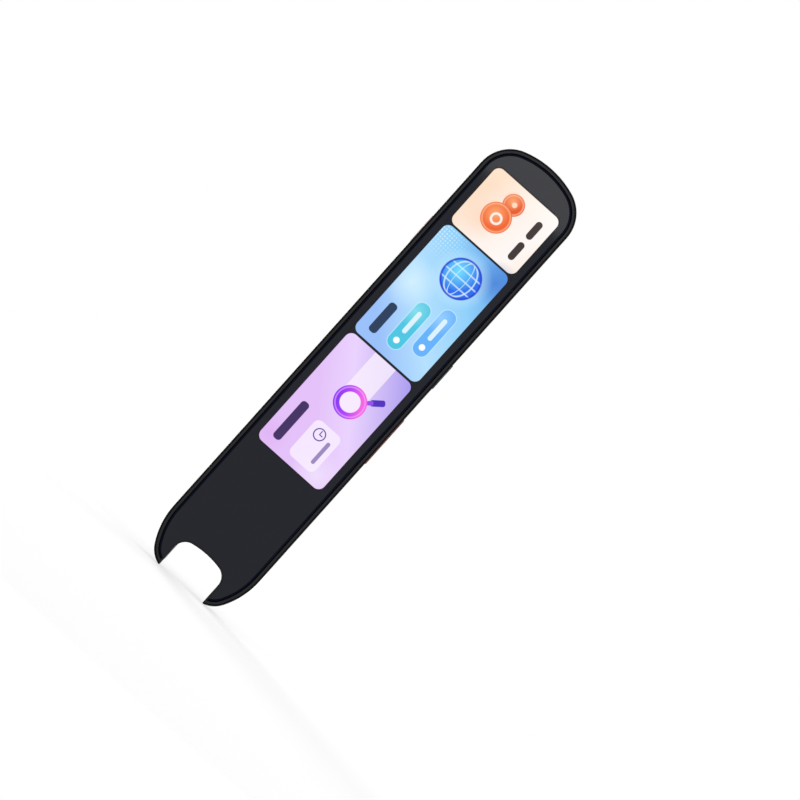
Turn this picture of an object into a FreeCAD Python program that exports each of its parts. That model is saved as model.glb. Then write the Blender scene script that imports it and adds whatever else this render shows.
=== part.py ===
"""Handheld translator: a flat pen that scans text at its horned tip, shows it on a long screen and speaks it.

Frame: X across the pen, Y through it (screen at -Y, loudspeaker at +Y), Z up from the tip to the rounded top.
The origin is the centre of the pen. All sizes are in millimetres.
"""
import FreeCAD
import Part
import Sketcher
import math
import os

from FreeCAD import Placement, Rotation, Vector

DIMENSIONS = {
    # the whole pen
    "pen_length": 160.0,
    "pen_width": 33.0,
    "pen_thickness": 12.6,
    "corner_radius": 11.0,
    "crown_radius": 28.0,
    "flank_radius": 24.0,
    "horn_radius": 8.0,
    "flank_turn": 30.0,
    "shoulder_radius": 5.8,
    "shell_wall": 1.3,
    "inner_bevel": 2.8,
    "part_gap": 0.1,
    # the arch between the horns, and the cut in the back above it
    "arch_width": 16.6,
    "arch_height": 11.3,
    "arch_corner": 4.0,
    "arch_crown_radius": 26.0,
    "tip_round": 0.4,
    "back_cut_width": 19.7,
    "back_cut_height": 20.6,
    "back_cut_corner": 3.6,
    # the front: glass, rim and mid-plate
    "glass_thickness": 1.2,
    "glass_edge_round": 0.8,
    "glass_gap": 0.08,
    "glue_thickness": 0.15,
    "rim_width": 1.25,
    "rim_drop": 0.15,
    "rim_round": 0.7,
    "arch_rim_width": 0.45,
    "frame_height": 2.9,
    "plate_rise": 1.2,
    "plate_thickness": 0.8,
    "collar_height": 1.0,
    "collar_wall": 1.0,
    # the screen
    "screen_width": 25.8,
    "screen_top_margin": 8.8,
    "screen_tip_margin": 41.8,
    "screen_corner": 1.6,
    "screen_thickness": 1.5,
    "screen_gap": 0.15,
    "tray_thickness": 0.3,
    "screen_ribbon_width": 9.0,
    "ribbon_thickness": 0.15,
    # the loudspeaker
    "grille_width": 22.6,
    "grille_height": 26.8,
    "grille_corner": 7.0,
    "grille_thickness": 0.8,
    "grille_sink": 0.5,
    "grille_from_top": 23.4,
    "grille_ledge": 1.2,
    "bezel_side": 1.4,
    "bezel_end": 2.0,
    "bezel_rise": 0.25,
    "bezel_skirt": 1.1,
    "bezel_chamfer": 0.4,
    "hole_pitch": 2.37,
    "hole_diameter": 1.3,
    "hole_field_radius": 10.3,
    "hole_row_half": 8.5,
    "full_hole_radius": 8.35,
    "hole_shrink": 0.3,
    "speaker_from_top": 21.0,
    "mesh_thickness": 0.2,
    "gasket_thickness": 1.2,
    "speaker_depth": 3.6,
    "speaker_side_gap": 0.6,
    "speaker_length": 23.6,
    "cone_radius": 8.6,
    "magnet_radius": 5.0,
    # the scanning tip
    "ledge": 1.6,
    "floor_angle": 46.0,
    "floor_corner": 4.2,
    "window_width": 14.4,
    "window_length": 8.0,
    "window_corner": 2.6,
    "window_thickness": 0.9,
    "nose_height": 23.4,
    "nose_skin": 1.2,
    "camera_y": 0.9,
    "barrel_radius": 2.6,
    "bracket_length": 8.0,
    # the keys
    "key_height": 3.4,
    "key_middle_y": 1.5,
    "key_proud": 0.25,
    "key_travel": 0.3,
    "key_gap": 0.12,
    "key_seat_depth": 1.9,
    "key_lip": 0.6,
    "key_lip_thickness": 0.7,
    "key_nub": 0.35,
    "power_key_length": 10.1,
    "power_key_from_top": 37.4,
    "mode_key_length": 9.0,
    "mode_key_from_top": 65.5,
    "talk_key_length": 17.0,
    "talk_key_from_top": 90.6,
    "rail_inset": 4.2,
    "rail_width": 0.9,
    "rail_height": 5.0,
    "switch_thickness": 0.65,
    # boards, battery and port
    "board_thickness": 0.8,
    "boss_height": 0.4,
    "mainboard_from_tip": 36.0,
    "mainboard_length": 32.0,
    "chip_thickness": 1.0,
    "can_height": 1.5,
    "can_wall": 0.2,
    "battery_board_gap": 3.0,
    "battery_side_gap": 0.9,
    "battery_top_gap": 5.0,
    "battery_thickness": 5.4,
    "battery_round": 1.6,
    "tape_thickness": 0.2,
    "charge_board_from_top": 4.4,
    "charge_board_length": 29.6,
    "charge_board_width": 17.0,
    "port_width": 8.94,
    "port_height": 3.16,
    "port_wall": 0.3,
    "port_depth": 7.3,
    "port_inset": 0.6,
    "port_floor": 1.0,
    "microphone_half": 1.3,
    "microphone_margin": 0.2,
    "microphone_hole": 1.0,
    "screw_head_radius": 1.2,
    "screw_head_height": 0.5,
    "screw_radius": 0.65,
    "screw_length": 1.9,
    "screw_gap": 0.08,
}

doc = FreeCAD.newDocument("Translator")
sheet = doc.addObject("Spreadsheet::Sheet", "Dims")
for row, (alias, value) in enumerate(DIMENSIONS.items(), start=1):
    sheet.set(f"A{row}", alias)
    sheet.set(f"B{row}", str(value))
    sheet.setAlias(f"B{row}", alias)
doc.recompute()

nodes = []


class Size:
    """A size that knows its number and the same sum written in sheet cells."""

    def __init__(self, number, formula):
        self.number = number
        self.formula = formula

    def __add__(self, other):
        other = as_size(other)
        return Size(self.number + other.number, f"({self.formula} + {other.formula})")

    def __sub__(self, other):
        other = as_size(other)
        return Size(self.number - other.number, f"({self.formula} - {other.formula})")

    def __mul__(self, other):
        other = as_size(other)
        return Size(self.number * other.number, f"({self.formula} * {other.formula})")

    def __truediv__(self, other):
        other = as_size(other)
        return Size(self.number / other.number, f"({self.formula} / {other.formula})")

    def __neg__(self):
        return as_size(0) - self


def as_size(value):
    return value if isinstance(value, Size) else Size(float(value), f"{float(value):.6f}")


def root(size):
    return Size(math.sqrt(size.number), f"sqrt({size.formula})")


def sine(degrees):
    return Size(math.sin(math.radians(degrees.number)), f"sin({degrees.formula} * 1 deg)")


def cosine(degrees):
    return Size(math.cos(math.radians(degrees.number)), f"cos({degrees.formula} * 1 deg)")


class Dimensions:
    """Reads a cell of the sheet by its alias."""

    def __getattr__(self, alias):
        return Size(float(sheet.get(alias)), f"Dims.{alias}")


dim = Dimensions()

# Levels and places that several pieces share, all worked out from the sheet.
half_width = dim.pen_width / 2
top_z = dim.pen_length / 2
tip_z = -top_z
front_y = -(dim.pen_thickness / 2)
bezel_y = dim.pen_thickness / 2
back_y = bezel_y - dim.bezel_rise
ceiling_y = back_y - dim.shell_wall
glass_under_y = front_y + dim.glass_thickness
rim_y = front_y + dim.rim_drop
shelf_y = glass_under_y + dim.glue_thickness
split_y = front_y + dim.frame_height
plate_y = split_y + dim.plate_rise
screen_floor_y = plate_y - dim.plate_thickness
collar_y = plate_y + dim.collar_height
board_y = plate_y + dim.boss_height
board_top_y = board_y + dim.board_thickness
inner_inset = dim.shell_wall + dim.part_gap
arch_half = dim.arch_width / 2
arch_top_z = tip_z + dim.arch_height

# The outline of the pen: a crown and two corners at the top, two flanks and two horns at the tip.
corner_z = top_z - dim.crown_radius + root(
    (dim.crown_radius - dim.corner_radius) * (dim.crown_radius - dim.corner_radius)
    - (half_width - dim.corner_radius) * (half_width - dim.corner_radius)
)
turn_drop = (dim.flank_radius - dim.horn_radius) * sine(dim.flank_turn)
horn_x = half_width - dim.flank_radius + (dim.flank_radius - dim.horn_radius) * cosine(dim.flank_turn)
tip_x = arch_half + dim.tip_round
horn_z = tip_z + root(dim.horn_radius * dim.horn_radius - (tip_x - horn_x) * (tip_x - horn_x))
flank_z = horn_z + turn_drop

# Where the inner pieces lie along the pen and across it.
screen_high = top_z - dim.screen_top_margin
screen_low = tip_z + dim.screen_tip_margin
grille_middle = top_z - dim.grille_from_top
speaker_middle = top_z - dim.speaker_from_top
mainboard_low = tip_z + dim.mainboard_from_tip
mainboard_high = mainboard_low + dim.mainboard_length
charge_board_high = top_z - dim.charge_board_from_top
charge_board_low = charge_board_high - dim.charge_board_length
battery_low = mainboard_high + dim.battery_board_gap
battery_high = charge_board_low - dim.battery_top_gap
rail_x = half_width - dim.rail_inset
rail_inner_x = rail_x - dim.rail_width
mainboard_half = rail_inner_x - dim.part_gap
battery_half = rail_inner_x - dim.battery_side_gap
speaker_half = rail_inner_x - dim.speaker_side_gap
microphone_x = dim.charge_board_width / 2 - dim.microphone_half - dim.microphone_margin

AXIS_SIGN = {"XY": 1, "XZ": -1, "YZ": 1}


def bind(thing, prop, size):
    thing.setExpression(prop, as_size(size).formula)


def new_body(label):
    body = doc.addObject("PartDesign::Body", label)
    nodes.append(body)
    return body


def new_sketch(body, plane, level):
    """A sketch on one of the body's own origin planes, moved along that plane's axis to the level."""
    sketch = body.newObject("Sketcher::SketchObject", f"{body.Name}_sketch")
    support = [part for part in body.Origin.OriginFeatures if part.Role == f"{plane}_Plane"]
    sketch.AttachmentSupport = [(support[0], "")]
    sketch.MapMode = "FlatFace"
    bind(sketch, "AttachmentOffset.Base.z", as_size(level) * AXIS_SIGN[plane])
    return sketch


def fix(sketch, kind, *place, size):
    """Adds one dimension to a sketch and binds it to the sheet."""
    size = as_size(size)
    index = sketch.addConstraint(Sketcher.Constraint(kind, *place, size.number))
    bind(sketch, f"Constraints[{index}]", size)


def fix_point(sketch, curve, end, x=None, y=None):
    if x is not None:
        fix(sketch, "DistanceX", -1, 1, curve, end, size=x)
    if y is not None:
        fix(sketch, "DistanceY", -1, 1, curve, end, size=y)


def add_line(sketch, start, end):
    return sketch.addGeometry(Part.LineSegment(Vector(*start, 0), Vector(*end, 0)))


def add_arc(sketch, centre, radius, start_degrees, end_degrees):
    circle = Part.Circle(Vector(*centre, 0), Vector(0, 0, 1), radius)
    return sketch.addGeometry(
        Part.ArcOfCircle(circle, math.radians(start_degrees), math.radians(end_degrees))
    )


def join_smooth(sketch, curves):
    """Joins each curve's end to the next one's start, tangent to it, and closes the loop."""
    for this, following in zip(curves, curves[1:] + curves[:1]):
        sketch.addConstraint(Sketcher.Constraint("Tangent", this, 2, following, 1))


def draw_circle(sketch, x, y, radius):
    x, y, radius = as_size(x), as_size(y), as_size(radius)
    circle = Part.Circle(Vector(x.number, y.number, 0), Vector(0, 0, 1), radius.number)
    index = sketch.addGeometry(circle)
    fix_point(sketch, index, 3, x, y)
    fix(sketch, "Radius", index, size=radius)


def draw_polygon(sketch, points):
    points = [(as_size(x), as_size(y)) for x, y in points]
    ends = points[1:] + points[:1]
    lines = [
        add_line(sketch, (a[0].number, a[1].number), (b[0].number, b[1].number))
        for a, b in zip(points, ends)
    ]
    for this, following in zip(lines, lines[1:] + lines[:1]):
        sketch.addConstraint(Sketcher.Constraint("Coincident", this, 2, following, 1))
    for line, (x, y) in zip(lines, points):
        fix_point(sketch, line, 1, x, y)


def draw_rectangle(sketch, left, right, low, high, corner=None):
    left, right, low, high = as_size(left), as_size(right), as_size(low), as_size(high)
    if corner is None:
        draw_polygon(sketch, [(left, low), (right, low), (right, high), (left, high)])
        return
    corner = as_size(corner)
    x0, x1, y0, y1, r = left.number, right.number, low.number, high.number, corner.number
    bottom = add_line(sketch, (x0 + r, y0), (x1 - r, y0))
    low_right = add_arc(sketch, (x1 - r, y0 + r), r, -90, 0)
    side_right = add_line(sketch, (x1, y0 + r), (x1, y1 - r))
    high_right = add_arc(sketch, (x1 - r, y1 - r), r, 0, 90)
    top = add_line(sketch, (x1 - r, y1), (x0 + r, y1))
    high_left = add_arc(sketch, (x0 + r, y1 - r), r, 90, 180)
    side_left = add_line(sketch, (x0, y1 - r), (x0, y0 + r))
    low_left = add_arc(sketch, (x0 + r, y0 + r), r, 180, 270)
    join_smooth(
        sketch, [bottom, low_right, side_right, high_right, top, high_left, side_left, low_left]
    )
    for line in (bottom, top):
        sketch.addConstraint(Sketcher.Constraint("Horizontal", line))
    for line in (side_left, side_right):
        sketch.addConstraint(Sketcher.Constraint("Vertical", line))
    for arc in (low_right, high_right, high_left, low_left):
        fix(sketch, "Radius", arc, size=corner)
    fix_point(sketch, bottom, 1, y=low)
    fix_point(sketch, top, 1, y=high)
    fix_point(sketch, side_left, 1, x=left)
    fix_point(sketch, side_right, 1, x=right)


def draw_outline(sketch, inset):
    """The pen's outline, drawn the given distance inside its edge."""
    inset = as_size(inset)
    side, base = half_width - inset, horn_z - dim.horn_radius + inset
    corner, crown = dim.corner_radius - inset, dim.crown_radius - inset
    flank, horn = dim.flank_radius - inset, dim.horn_radius - inset
    crown_z = top_z - dim.crown_radius
    turn = dim.flank_turn.number
    rise = math.degrees(
        math.atan2(corner_z.number - crown_z.number, half_width.number - dim.corner_radius.number)
    )
    corner_x = half_width.number - dim.corner_radius.number
    flank_x = half_width.number - dim.flank_radius.number
    bottom = add_line(sketch, (-horn_x.number, base.number), (horn_x.number, base.number))
    horn_right = add_arc(sketch, (horn_x.number, horn_z.number), horn.number, -90, -turn)
    flank_right = add_arc(sketch, (flank_x, flank_z.number), flank.number, -turn, 0)
    side_right = add_line(sketch, (side.number, flank_z.number), (side.number, corner_z.number))
    corner_right = add_arc(sketch, (corner_x, corner_z.number), corner.number, 0, rise)
    crown_arc = add_arc(sketch, (0, crown_z.number), crown.number, rise, 180 - rise)
    corner_left = add_arc(sketch, (-corner_x, corner_z.number), corner.number, 180 - rise, 180)
    side_left = add_line(sketch, (-side.number, corner_z.number), (-side.number, flank_z.number))
    flank_left = add_arc(sketch, (-flank_x, flank_z.number), flank.number, 180, 180 + turn)
    horn_left = add_arc(sketch, (-horn_x.number, horn_z.number), horn.number, 180 + turn, 270)
    join_smooth(
        sketch,
        [bottom, horn_right, flank_right, side_right, corner_right, crown_arc]
        + [corner_left, side_left, flank_left, horn_left],
    )
    sketch.addConstraint(Sketcher.Constraint("Horizontal", bottom))
    sketch.addConstraint(Sketcher.Constraint("Vertical", side_right))
    sketch.addConstraint(Sketcher.Constraint("Vertical", side_left))
    for arc, radius in (
        (horn_right, horn),
        (flank_right, flank),
        (corner_right, corner),
        (crown_arc, crown),
        (corner_left, corner),
        (flank_left, flank),
        (horn_left, horn),
    ):
        fix(sketch, "Radius", arc, size=radius)
    fix_point(sketch, crown_arc, 3, x=0, y=crown_z)
    fix_point(sketch, side_right, 1, x=side)
    fix_point(sketch, side_left, 1, x=-side)
    fix_point(sketch, flank_right, 3, y=flank_z)
    fix_point(sketch, flank_left, 3, y=flank_z)
    fix_point(sketch, bottom, 1, y=base)


def draw_arch(sketch, grow, low, tip=None):
    """The arch between the horns, grown outward, open down to low.

    With a tip level its foot flares out there, which leaves a small round on each horn's point.
    """
    grow, low = as_size(grow), as_size(low)
    half, top = arch_half + grow, arch_top_z + grow
    corner, crown = dim.arch_corner + grow, dim.arch_crown_radius + grow
    crown_z = top - crown
    spring_z = crown_z + root((crown - corner) * (crown - corner) - (half - corner) * (half - corner))
    corner_x = half.number - corner.number
    rise = math.degrees(math.atan2(spring_z.number - crown_z.number, corner_x))
    corner_right = add_arc(sketch, (corner_x, spring_z.number), corner.number, 0, rise)
    crown_arc = add_arc(sketch, (0, crown_z.number), crown.number, rise, 180 - rise)
    corner_left = add_arc(sketch, (-corner_x, spring_z.number), corner.number, 180 - rise, 180)
    curves = [corner_right, crown_arc, corner_left]
    foot = low if tip is None else tip + dim.tip_round
    side_left = add_line(sketch, (-half.number, spring_z.number), (-half.number, foot.number))
    side_right = add_line(sketch, (half.number, foot.number), (half.number, spring_z.number))
    for this, following in zip([side_right] + curves, curves + [side_left]):
        sketch.addConstraint(Sketcher.Constraint("Tangent", this, 2, following, 1))
    loose = [side_left, side_right]
    if tip is not None:
        flare_x = half + dim.tip_round
        x, r = flare_x.number, dim.tip_round.number
        flare_left = add_arc(sketch, (-x, foot.number), r, -90, 0)
        flare_right = add_arc(sketch, (x, foot.number), r, 180, 270)
        drop_left = add_line(sketch, (-x, tip.number), (-x, low.number))
        drop_right = add_line(sketch, (x, low.number), (x, tip.number))
        sketch.addConstraint(Sketcher.Constraint("Tangent", side_left, 2, flare_left, 2))
        sketch.addConstraint(Sketcher.Constraint("Coincident", flare_left, 1, drop_left, 1))
        sketch.addConstraint(Sketcher.Constraint("Coincident", drop_right, 2, flare_right, 2))
        sketch.addConstraint(Sketcher.Constraint("Tangent", flare_right, 1, side_right, 1))
        for flare in (flare_left, flare_right):
            fix(sketch, "Radius", flare, size=dim.tip_round)
            fix_point(sketch, flare, 3, y=foot)
        for drop, sign in ((drop_left, -1), (drop_right, 1)):
            sketch.addConstraint(Sketcher.Constraint("Vertical", drop))
            fix_point(sketch, drop, 1, x=flare_x * sign)
        loose = [drop_left, drop_right]
        half_foot = x
    else:
        half_foot = half.number
    bottom = add_line(sketch, (-half_foot, low.number), (half_foot, low.number))
    sketch.addConstraint(Sketcher.Constraint("Coincident", loose[0], 2, bottom, 1))
    sketch.addConstraint(Sketcher.Constraint("Coincident", bottom, 2, loose[1], 1))
    for line in (side_left, side_right):
        sketch.addConstraint(Sketcher.Constraint("Vertical", line))
    sketch.addConstraint(Sketcher.Constraint("Horizontal", bottom))
    for arc, radius in ((corner_right, corner), (crown_arc, crown), (corner_left, corner)):
        fix(sketch, "Radius", arc, size=radius)
    fix_point(sketch, crown_arc, 3, x=0, y=crown_z)
    fix_point(sketch, side_left, 1, x=-half)
    fix_point(sketch, side_right, 1, x=half)
    fix_point(sketch, bottom, 1, y=low)


def outline_low(inset, x):
    """The level of the horn's underside at x, on the outline drawn that far inside the edge."""
    radius = dim.horn_radius - inset
    return horn_z - root(radius * radius - (x - horn_x) * (x - horn_x))


def pad(body, plane, low, high, draw, *args, **options):
    """Adds the slab between two levels along the plane's axis."""
    sketch = new_sketch(body, plane, low if AXIS_SIGN[plane] > 0 else high)
    draw(sketch, *args, **options)
    feature = body.newObject("PartDesign::Pad", f"{body.Name}_pad")
    feature.Profile = sketch
    bind(feature, "Length", as_size(high) - low)
    sketch.Visibility = False
    return feature


def pocket(body, plane, low, high, draw, *args, **options):
    """Cuts the slab between two levels along the plane's axis."""
    sketch = new_sketch(body, plane, high if AXIS_SIGN[plane] > 0 else low)
    draw(sketch, *args, **options)
    feature = body.newObject("PartDesign::Pocket", f"{body.Name}_pocket")
    feature.Profile = sketch
    bind(feature, "Length", as_size(high) - low)
    sketch.Visibility = False
    return feature


def edges_where(feature, test):
    """Names the edges of a feature whose points all pass the test."""
    doc.recompute()
    names = []
    for number, edge in enumerate(feature.Shape.Edges, start=1):
        if all(test(point) for point in edge.discretize(5)):
            names.append(f"Edge{number}")
    return names


def at_level(axis, level):
    return lambda point: abs(getattr(point, axis) - level.number) < 1e-4


def round_edges(body, feature, test, radius):
    fillet = body.newObject("PartDesign::Fillet", f"{body.Name}_round")
    fillet.Base = (feature, edges_where(feature, test))
    bind(fillet, "Radius", radius)
    return fillet


def chamfer_edges(body, feature, test, size):
    chamfer = body.newObject("PartDesign::Chamfer", f"{body.Name}_chamfer")
    chamfer.Base = (feature, edges_where(feature, test))
    bind(chamfer, "Size", size)
    return chamfer


def plate(label, x, y, z, corner=None, holes=()):
    """A flat piece: a rectangle in X and Z between two levels of Y, with round holes."""
    body = new_body(label)
    pad(body, "XZ", y[0], y[1], draw_rectangle, x[0], x[1], z[0], z[1], corner)
    for hole_x, hole_z, radius in holes:
        pocket(body, "XZ", y[0], y[1], draw_circle, hole_x, hole_z, radius)
    return body


def block(label, x, y, z):
    box = doc.addObject("Part::Box", label)
    for prop, (low, high) in (("Length", x), ("Width", y), ("Height", z)):
        bind(box, prop, as_size(high) - low)
    for axis, (low, high) in (("x", x), ("y", y), ("z", z)):
        bind(box, f"Placement.Base.{axis}", low)
    return box


def rod_y(label, x, z, radius, low, high):
    """A small bar along Y, with twelve sides so that many of them stay light."""
    rod = doc.addObject("Part::Prism", label)
    rod.Placement = Placement(Vector(0, 0, 0), Rotation(Vector(1, 0, 0), -90))
    rod.Polygon = 12
    bind(rod, "Circumradius", radius)
    bind(rod, "Height", as_size(high) - low)
    for axis, level in (("x", x), ("y", low), ("z", z)):
        bind(rod, f"Placement.Base.{axis}", level)
    return rod


def fuse(label, parts):
    fused = doc.addObject("Part::MultiFuse", label)
    fused.Shapes = parts
    return fused


def cut(label, base, tool):
    difference = doc.addObject("Part::Cut", label)
    difference.Base = base
    difference.Tool = tool
    return difference


def group(label, members):
    """Several alike solids in one node."""
    compound = doc.addObject("Part::Compound", label)
    compound.Links = members
    nodes.append(compound)
    return compound


# Keys: the side they are on (+1 or -1 in X), their length and their middle.
KEYS = {
    "power_key": (-1, dim.power_key_length, top_z - dim.power_key_from_top),
    "mode_key": (1, dim.mode_key_length, top_z - dim.mode_key_from_top),
    "talk_key": (1, dim.talk_key_length, top_z - dim.talk_key_from_top),
}
key_seat_x = half_width - dim.key_seat_depth
key_lip_x = key_seat_x - dim.part_gap / 2 - dim.key_lip_thickness
key_nub_x = key_lip_x - dim.key_nub
key_low_y = dim.key_middle_y - dim.key_height / 2
key_high_y = dim.key_middle_y + dim.key_height / 2
switch_x = key_nub_x - dim.key_travel - dim.part_gap

# Screws: the boards' and the camera bracket's, as (x, z) and the level under each head.
board_screw_x = mainboard_half - 1.6
charge_screw_x = dim.charge_board_width / 2 - 1.6
bracket_low = tip_z + dim.nose_height + dim.part_gap
bracket_high = bracket_low + dim.bracket_length
bracket_ear_y = plate_y + dim.boss_height + dim.board_thickness
SCREWS = [
    (-board_screw_x, mainboard_low + 1.8),
    (board_screw_x, mainboard_low + 1.8),
    (-board_screw_x, mainboard_high - 1.8),
    (board_screw_x, mainboard_high - 1.8),
    (-charge_screw_x, charge_board_low + 1.8),
    (charge_screw_x, charge_board_low + 1.8),
    (-(board_screw_x - 0.4), bracket_low + dim.bracket_length / 2),
    (board_screw_x - 0.4, bracket_low + dim.bracket_length / 2),
]

# The battery's guard board, and the socket its leads go to.
guard_low = battery_low - 2.4
lead_low = guard_low - 1.2

grille_low = grille_middle - dim.grille_height / 2
grille_high = grille_middle + dim.grille_height / 2
grille_half = dim.grille_width / 2
grille_y = bezel_y - dim.grille_sink
grille_back_y = grille_y - dim.grille_thickness
port_y = board_top_y + dim.port_height / 2 + 0.02
port_mouth_z = top_z - dim.port_inset
floor_y = plate_y
floor_z = arch_top_z + dim.ledge
floor_slope = sine(dim.floor_angle) / cosine(dim.floor_angle)


def floor_level(y):
    """The level of the tip's sloping floor at a depth y."""
    return floor_z + (as_size(y) - floor_y) * floor_slope


def make_rear_shell():
    """The moulded back: rolled shoulders, speaker recess, U cut, key and port holes."""
    body = new_body("rear_shell")
    pad(body, "XZ", split_y, back_y, draw_outline, 0)
    cavity = pocket(body, "XZ", split_y, ceiling_y, draw_outline, dim.shell_wall)
    hollow = chamfer_edges(body, cavity, at_level("y", ceiling_y), dim.inner_bevel)
    round_edges(body, hollow, at_level("y", back_y), dim.shoulder_radius)
    bezel_half = grille_half + dim.bezel_side - dim.bezel_rise
    bezel_reach = dim.grille_height / 2 + dim.bezel_end - dim.bezel_rise
    bezel = pad(
        body, "XZ", bezel_y - dim.bezel_skirt, bezel_y,
        draw_rectangle, -bezel_half, bezel_half,
        grille_middle - bezel_reach, grille_middle + bezel_reach,
        dim.grille_corner + dim.bezel_side - dim.bezel_rise,
    )  # fmt: skip
    bezel.TaperAngle = 45
    boss_y = grille_back_y - dim.grille_ledge
    boss_half, boss_reach = grille_half + 1.0, dim.grille_height / 2 + 1.0
    pad(
        body, "XZ", boss_y, ceiling_y + 0.2,
        draw_rectangle, -boss_half, boss_half,
        grille_middle - boss_reach, grille_middle + boss_reach, dim.grille_corner + 1.0,
    )  # fmt: skip
    seat = pocket(
        body, "XZ", grille_back_y, bezel_y,
        draw_rectangle, -(grille_half + dim.part_gap), grille_half + dim.part_gap,
        grille_low - dim.part_gap, grille_high + dim.part_gap, dim.grille_corner + dim.part_gap,
    )  # fmt: skip
    chamfer_edges(
        body,
        seat,
        lambda p: at_level("y", bezel_y)(p)
        and abs(p.x) < grille_half.number + 0.2
        and grille_low.number - 0.2 < p.z < grille_high.number + 0.2,
        dim.bezel_chamfer,
    )
    open_half = grille_half - dim.grille_ledge
    pocket(
        body, "XZ", boss_y - 0.5, grille_back_y,
        draw_rectangle, -open_half, open_half,
        grille_low + dim.grille_ledge, grille_high - dim.grille_ledge,
        dim.grille_corner - dim.grille_ledge,
    )  # fmt: skip
    cut_half = dim.back_cut_width / 2
    pocket(
        body, "XZ", split_y - 1, back_y + 1,
        draw_rectangle, -cut_half, cut_half, tip_z - 12, tip_z + dim.back_cut_height,
        dim.back_cut_corner,
    )  # fmt: skip
    for side, length, middle in KEYS.values():
        cut_key_hole(body, side, length, middle)
    pocket(
        body, "XY", top_z - 4, top_z + 1,
        draw_rectangle, -(dim.port_width / 2 + 0.2), dim.port_width / 2 + 0.2,
        port_y - dim.port_height / 2 - 0.2, port_y + dim.port_height / 2 + 0.2,
        dim.port_height / 2 + 0.19,
    )  # fmt: skip
    for side in (-1, 1):
        pocket(
            body, "XY", top_z - 6, top_z + 1,
            draw_circle, microphone_x * side, port_y, dim.microphone_hole / 2,
        )  # fmt: skip


def cut_key_hole(body, side, length, middle):
    """The hole for a key's cap, and the flat seat for its lip inside the wall."""
    outer, seat = half_width + 1, key_seat_x
    hole_half = length / 2 + dim.key_gap
    seat_half = hole_half + dim.key_lip + dim.key_gap
    hole_round = dim.key_height / 2 + dim.key_gap - 0.01
    low_y, high_y = key_low_y - dim.key_gap, key_high_y + dim.key_gap
    spans = ((seat - 4, outer), (seat - 4, seat))
    lips = (as_size(0), dim.key_lip + dim.key_gap)
    for (near, far), lip, half, corner in zip(spans, lips, (hole_half, seat_half), (hole_round, None)):
        low, high = (near, far) if side > 0 else (-far, -near)
        pocket(
            body, "YZ", low, high,
            draw_rectangle, low_y - lip, high_y + lip, middle - half, middle + half, corner,
        )  # fmt: skip


def make_front_frame():
    """The black rim round the glass, with the mid-plate that carries the insides."""
    body = new_body("front_frame")
    rim = pad(body, "XZ", rim_y, split_y, draw_outline, 0)
    round_edges(body, rim, at_level("y", rim_y), dim.rim_round)
    pad(body, "XZ", split_y, plate_y, draw_outline, inner_inset)
    pad(body, "XZ", plate_y, collar_y, draw_outline, inner_inset)
    pocket(body, "XZ", plate_y, collar_y, draw_outline, inner_inset + dim.collar_wall)
    pocket(
        body, "XZ", plate_y, collar_y,
        draw_rectangle, -half_width, half_width, tip_z - 2, bracket_high,
    )  # fmt: skip
    pocket(body, "XZ", rim_y, shelf_y, draw_outline, dim.rim_width)
    pad(body, "XZ", rim_y, shelf_y, draw_arch, dim.arch_rim_width, tip_z + 1)
    pocket(body, "XZ", rim_y - 1, collar_y, draw_arch, 0, tip_z - 3, tip=tip_z)
    screen_half = dim.screen_width / 2 + dim.screen_gap
    pocket(
        body, "XZ", shelf_y, screen_floor_y,
        draw_rectangle, -screen_half, screen_half,
        screen_low - dim.screen_gap, screen_high + dim.screen_gap, dim.screen_corner,
    )  # fmt: skip
    ribbon_half = dim.screen_ribbon_width / 2 + 0.8
    pocket(
        body, "XZ", shelf_y, screen_floor_y,
        draw_rectangle, -ribbon_half, ribbon_half, mainboard_low - 3, screen_low + 1,
    )  # fmt: skip
    pocket(
        body, "XZ", screen_floor_y - 0.1, plate_y,
        draw_rectangle, -ribbon_half, ribbon_half,
        mainboard_low - 3, mainboard_low - 0.6,
    )  # fmt: skip
    for side, length, middle in KEYS.values():
        inner, outer = rail_inner_x, rail_x
        low, high = (inner, outer) if side > 0 else (-outer, -inner)
        half = length / 2 + 1
        pad(
            body, "XZ", plate_y, plate_y + dim.rail_height,
            draw_rectangle, low, high, middle - half, middle + half,
        )  # fmt: skip
    reach = dim.screw_head_radius + 0.2
    for x, z in SCREWS:
        pad(body, "XZ", plate_y, board_y, draw_rectangle, as_size(x) - reach, as_size(x) + reach,
            z - reach, z + reach)  # fmt: skip
    for x, z in SCREWS:
        pocket(
            body, "XZ", screen_floor_y - 0.1, board_y,
            draw_circle, x, z, dim.screw_radius + dim.screw_gap,
        )  # fmt: skip


def make_cover_glass():
    body = new_body("cover_glass")
    inset = dim.rim_width + dim.glass_gap
    sheet_pad = pad(body, "XZ", front_y, glass_under_y, draw_outline, inset)
    round_edges(body, sheet_pad, at_level("y", front_y), dim.glass_edge_round)
    grow = dim.arch_rim_width + dim.glass_gap
    tip = outline_low(inset, arch_half + grow + dim.tip_round)
    pocket(body, "XZ", front_y - 1, glass_under_y, draw_arch, grow, tip_z - 3, tip=tip)
    return body


def make_glass_adhesive():
    body = new_body("glass_adhesive")
    inset = dim.rim_width + dim.part_gap
    pad(body, "XZ", glass_under_y, shelf_y, draw_outline, inset)
    screen_half = dim.screen_width / 2 + dim.screen_gap
    pocket(
        body, "XZ", glass_under_y, shelf_y,
        draw_rectangle, -screen_half, screen_half,
        mainboard_low - 3, screen_high + dim.screen_gap, dim.screen_corner,
    )  # fmt: skip
    grow = dim.arch_rim_width + dim.part_gap
    tip = outline_low(inset, arch_half + grow + dim.tip_round)
    pocket(body, "XZ", glass_under_y, shelf_y, draw_arch, grow, tip_z - 3, tip=tip)


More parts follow.
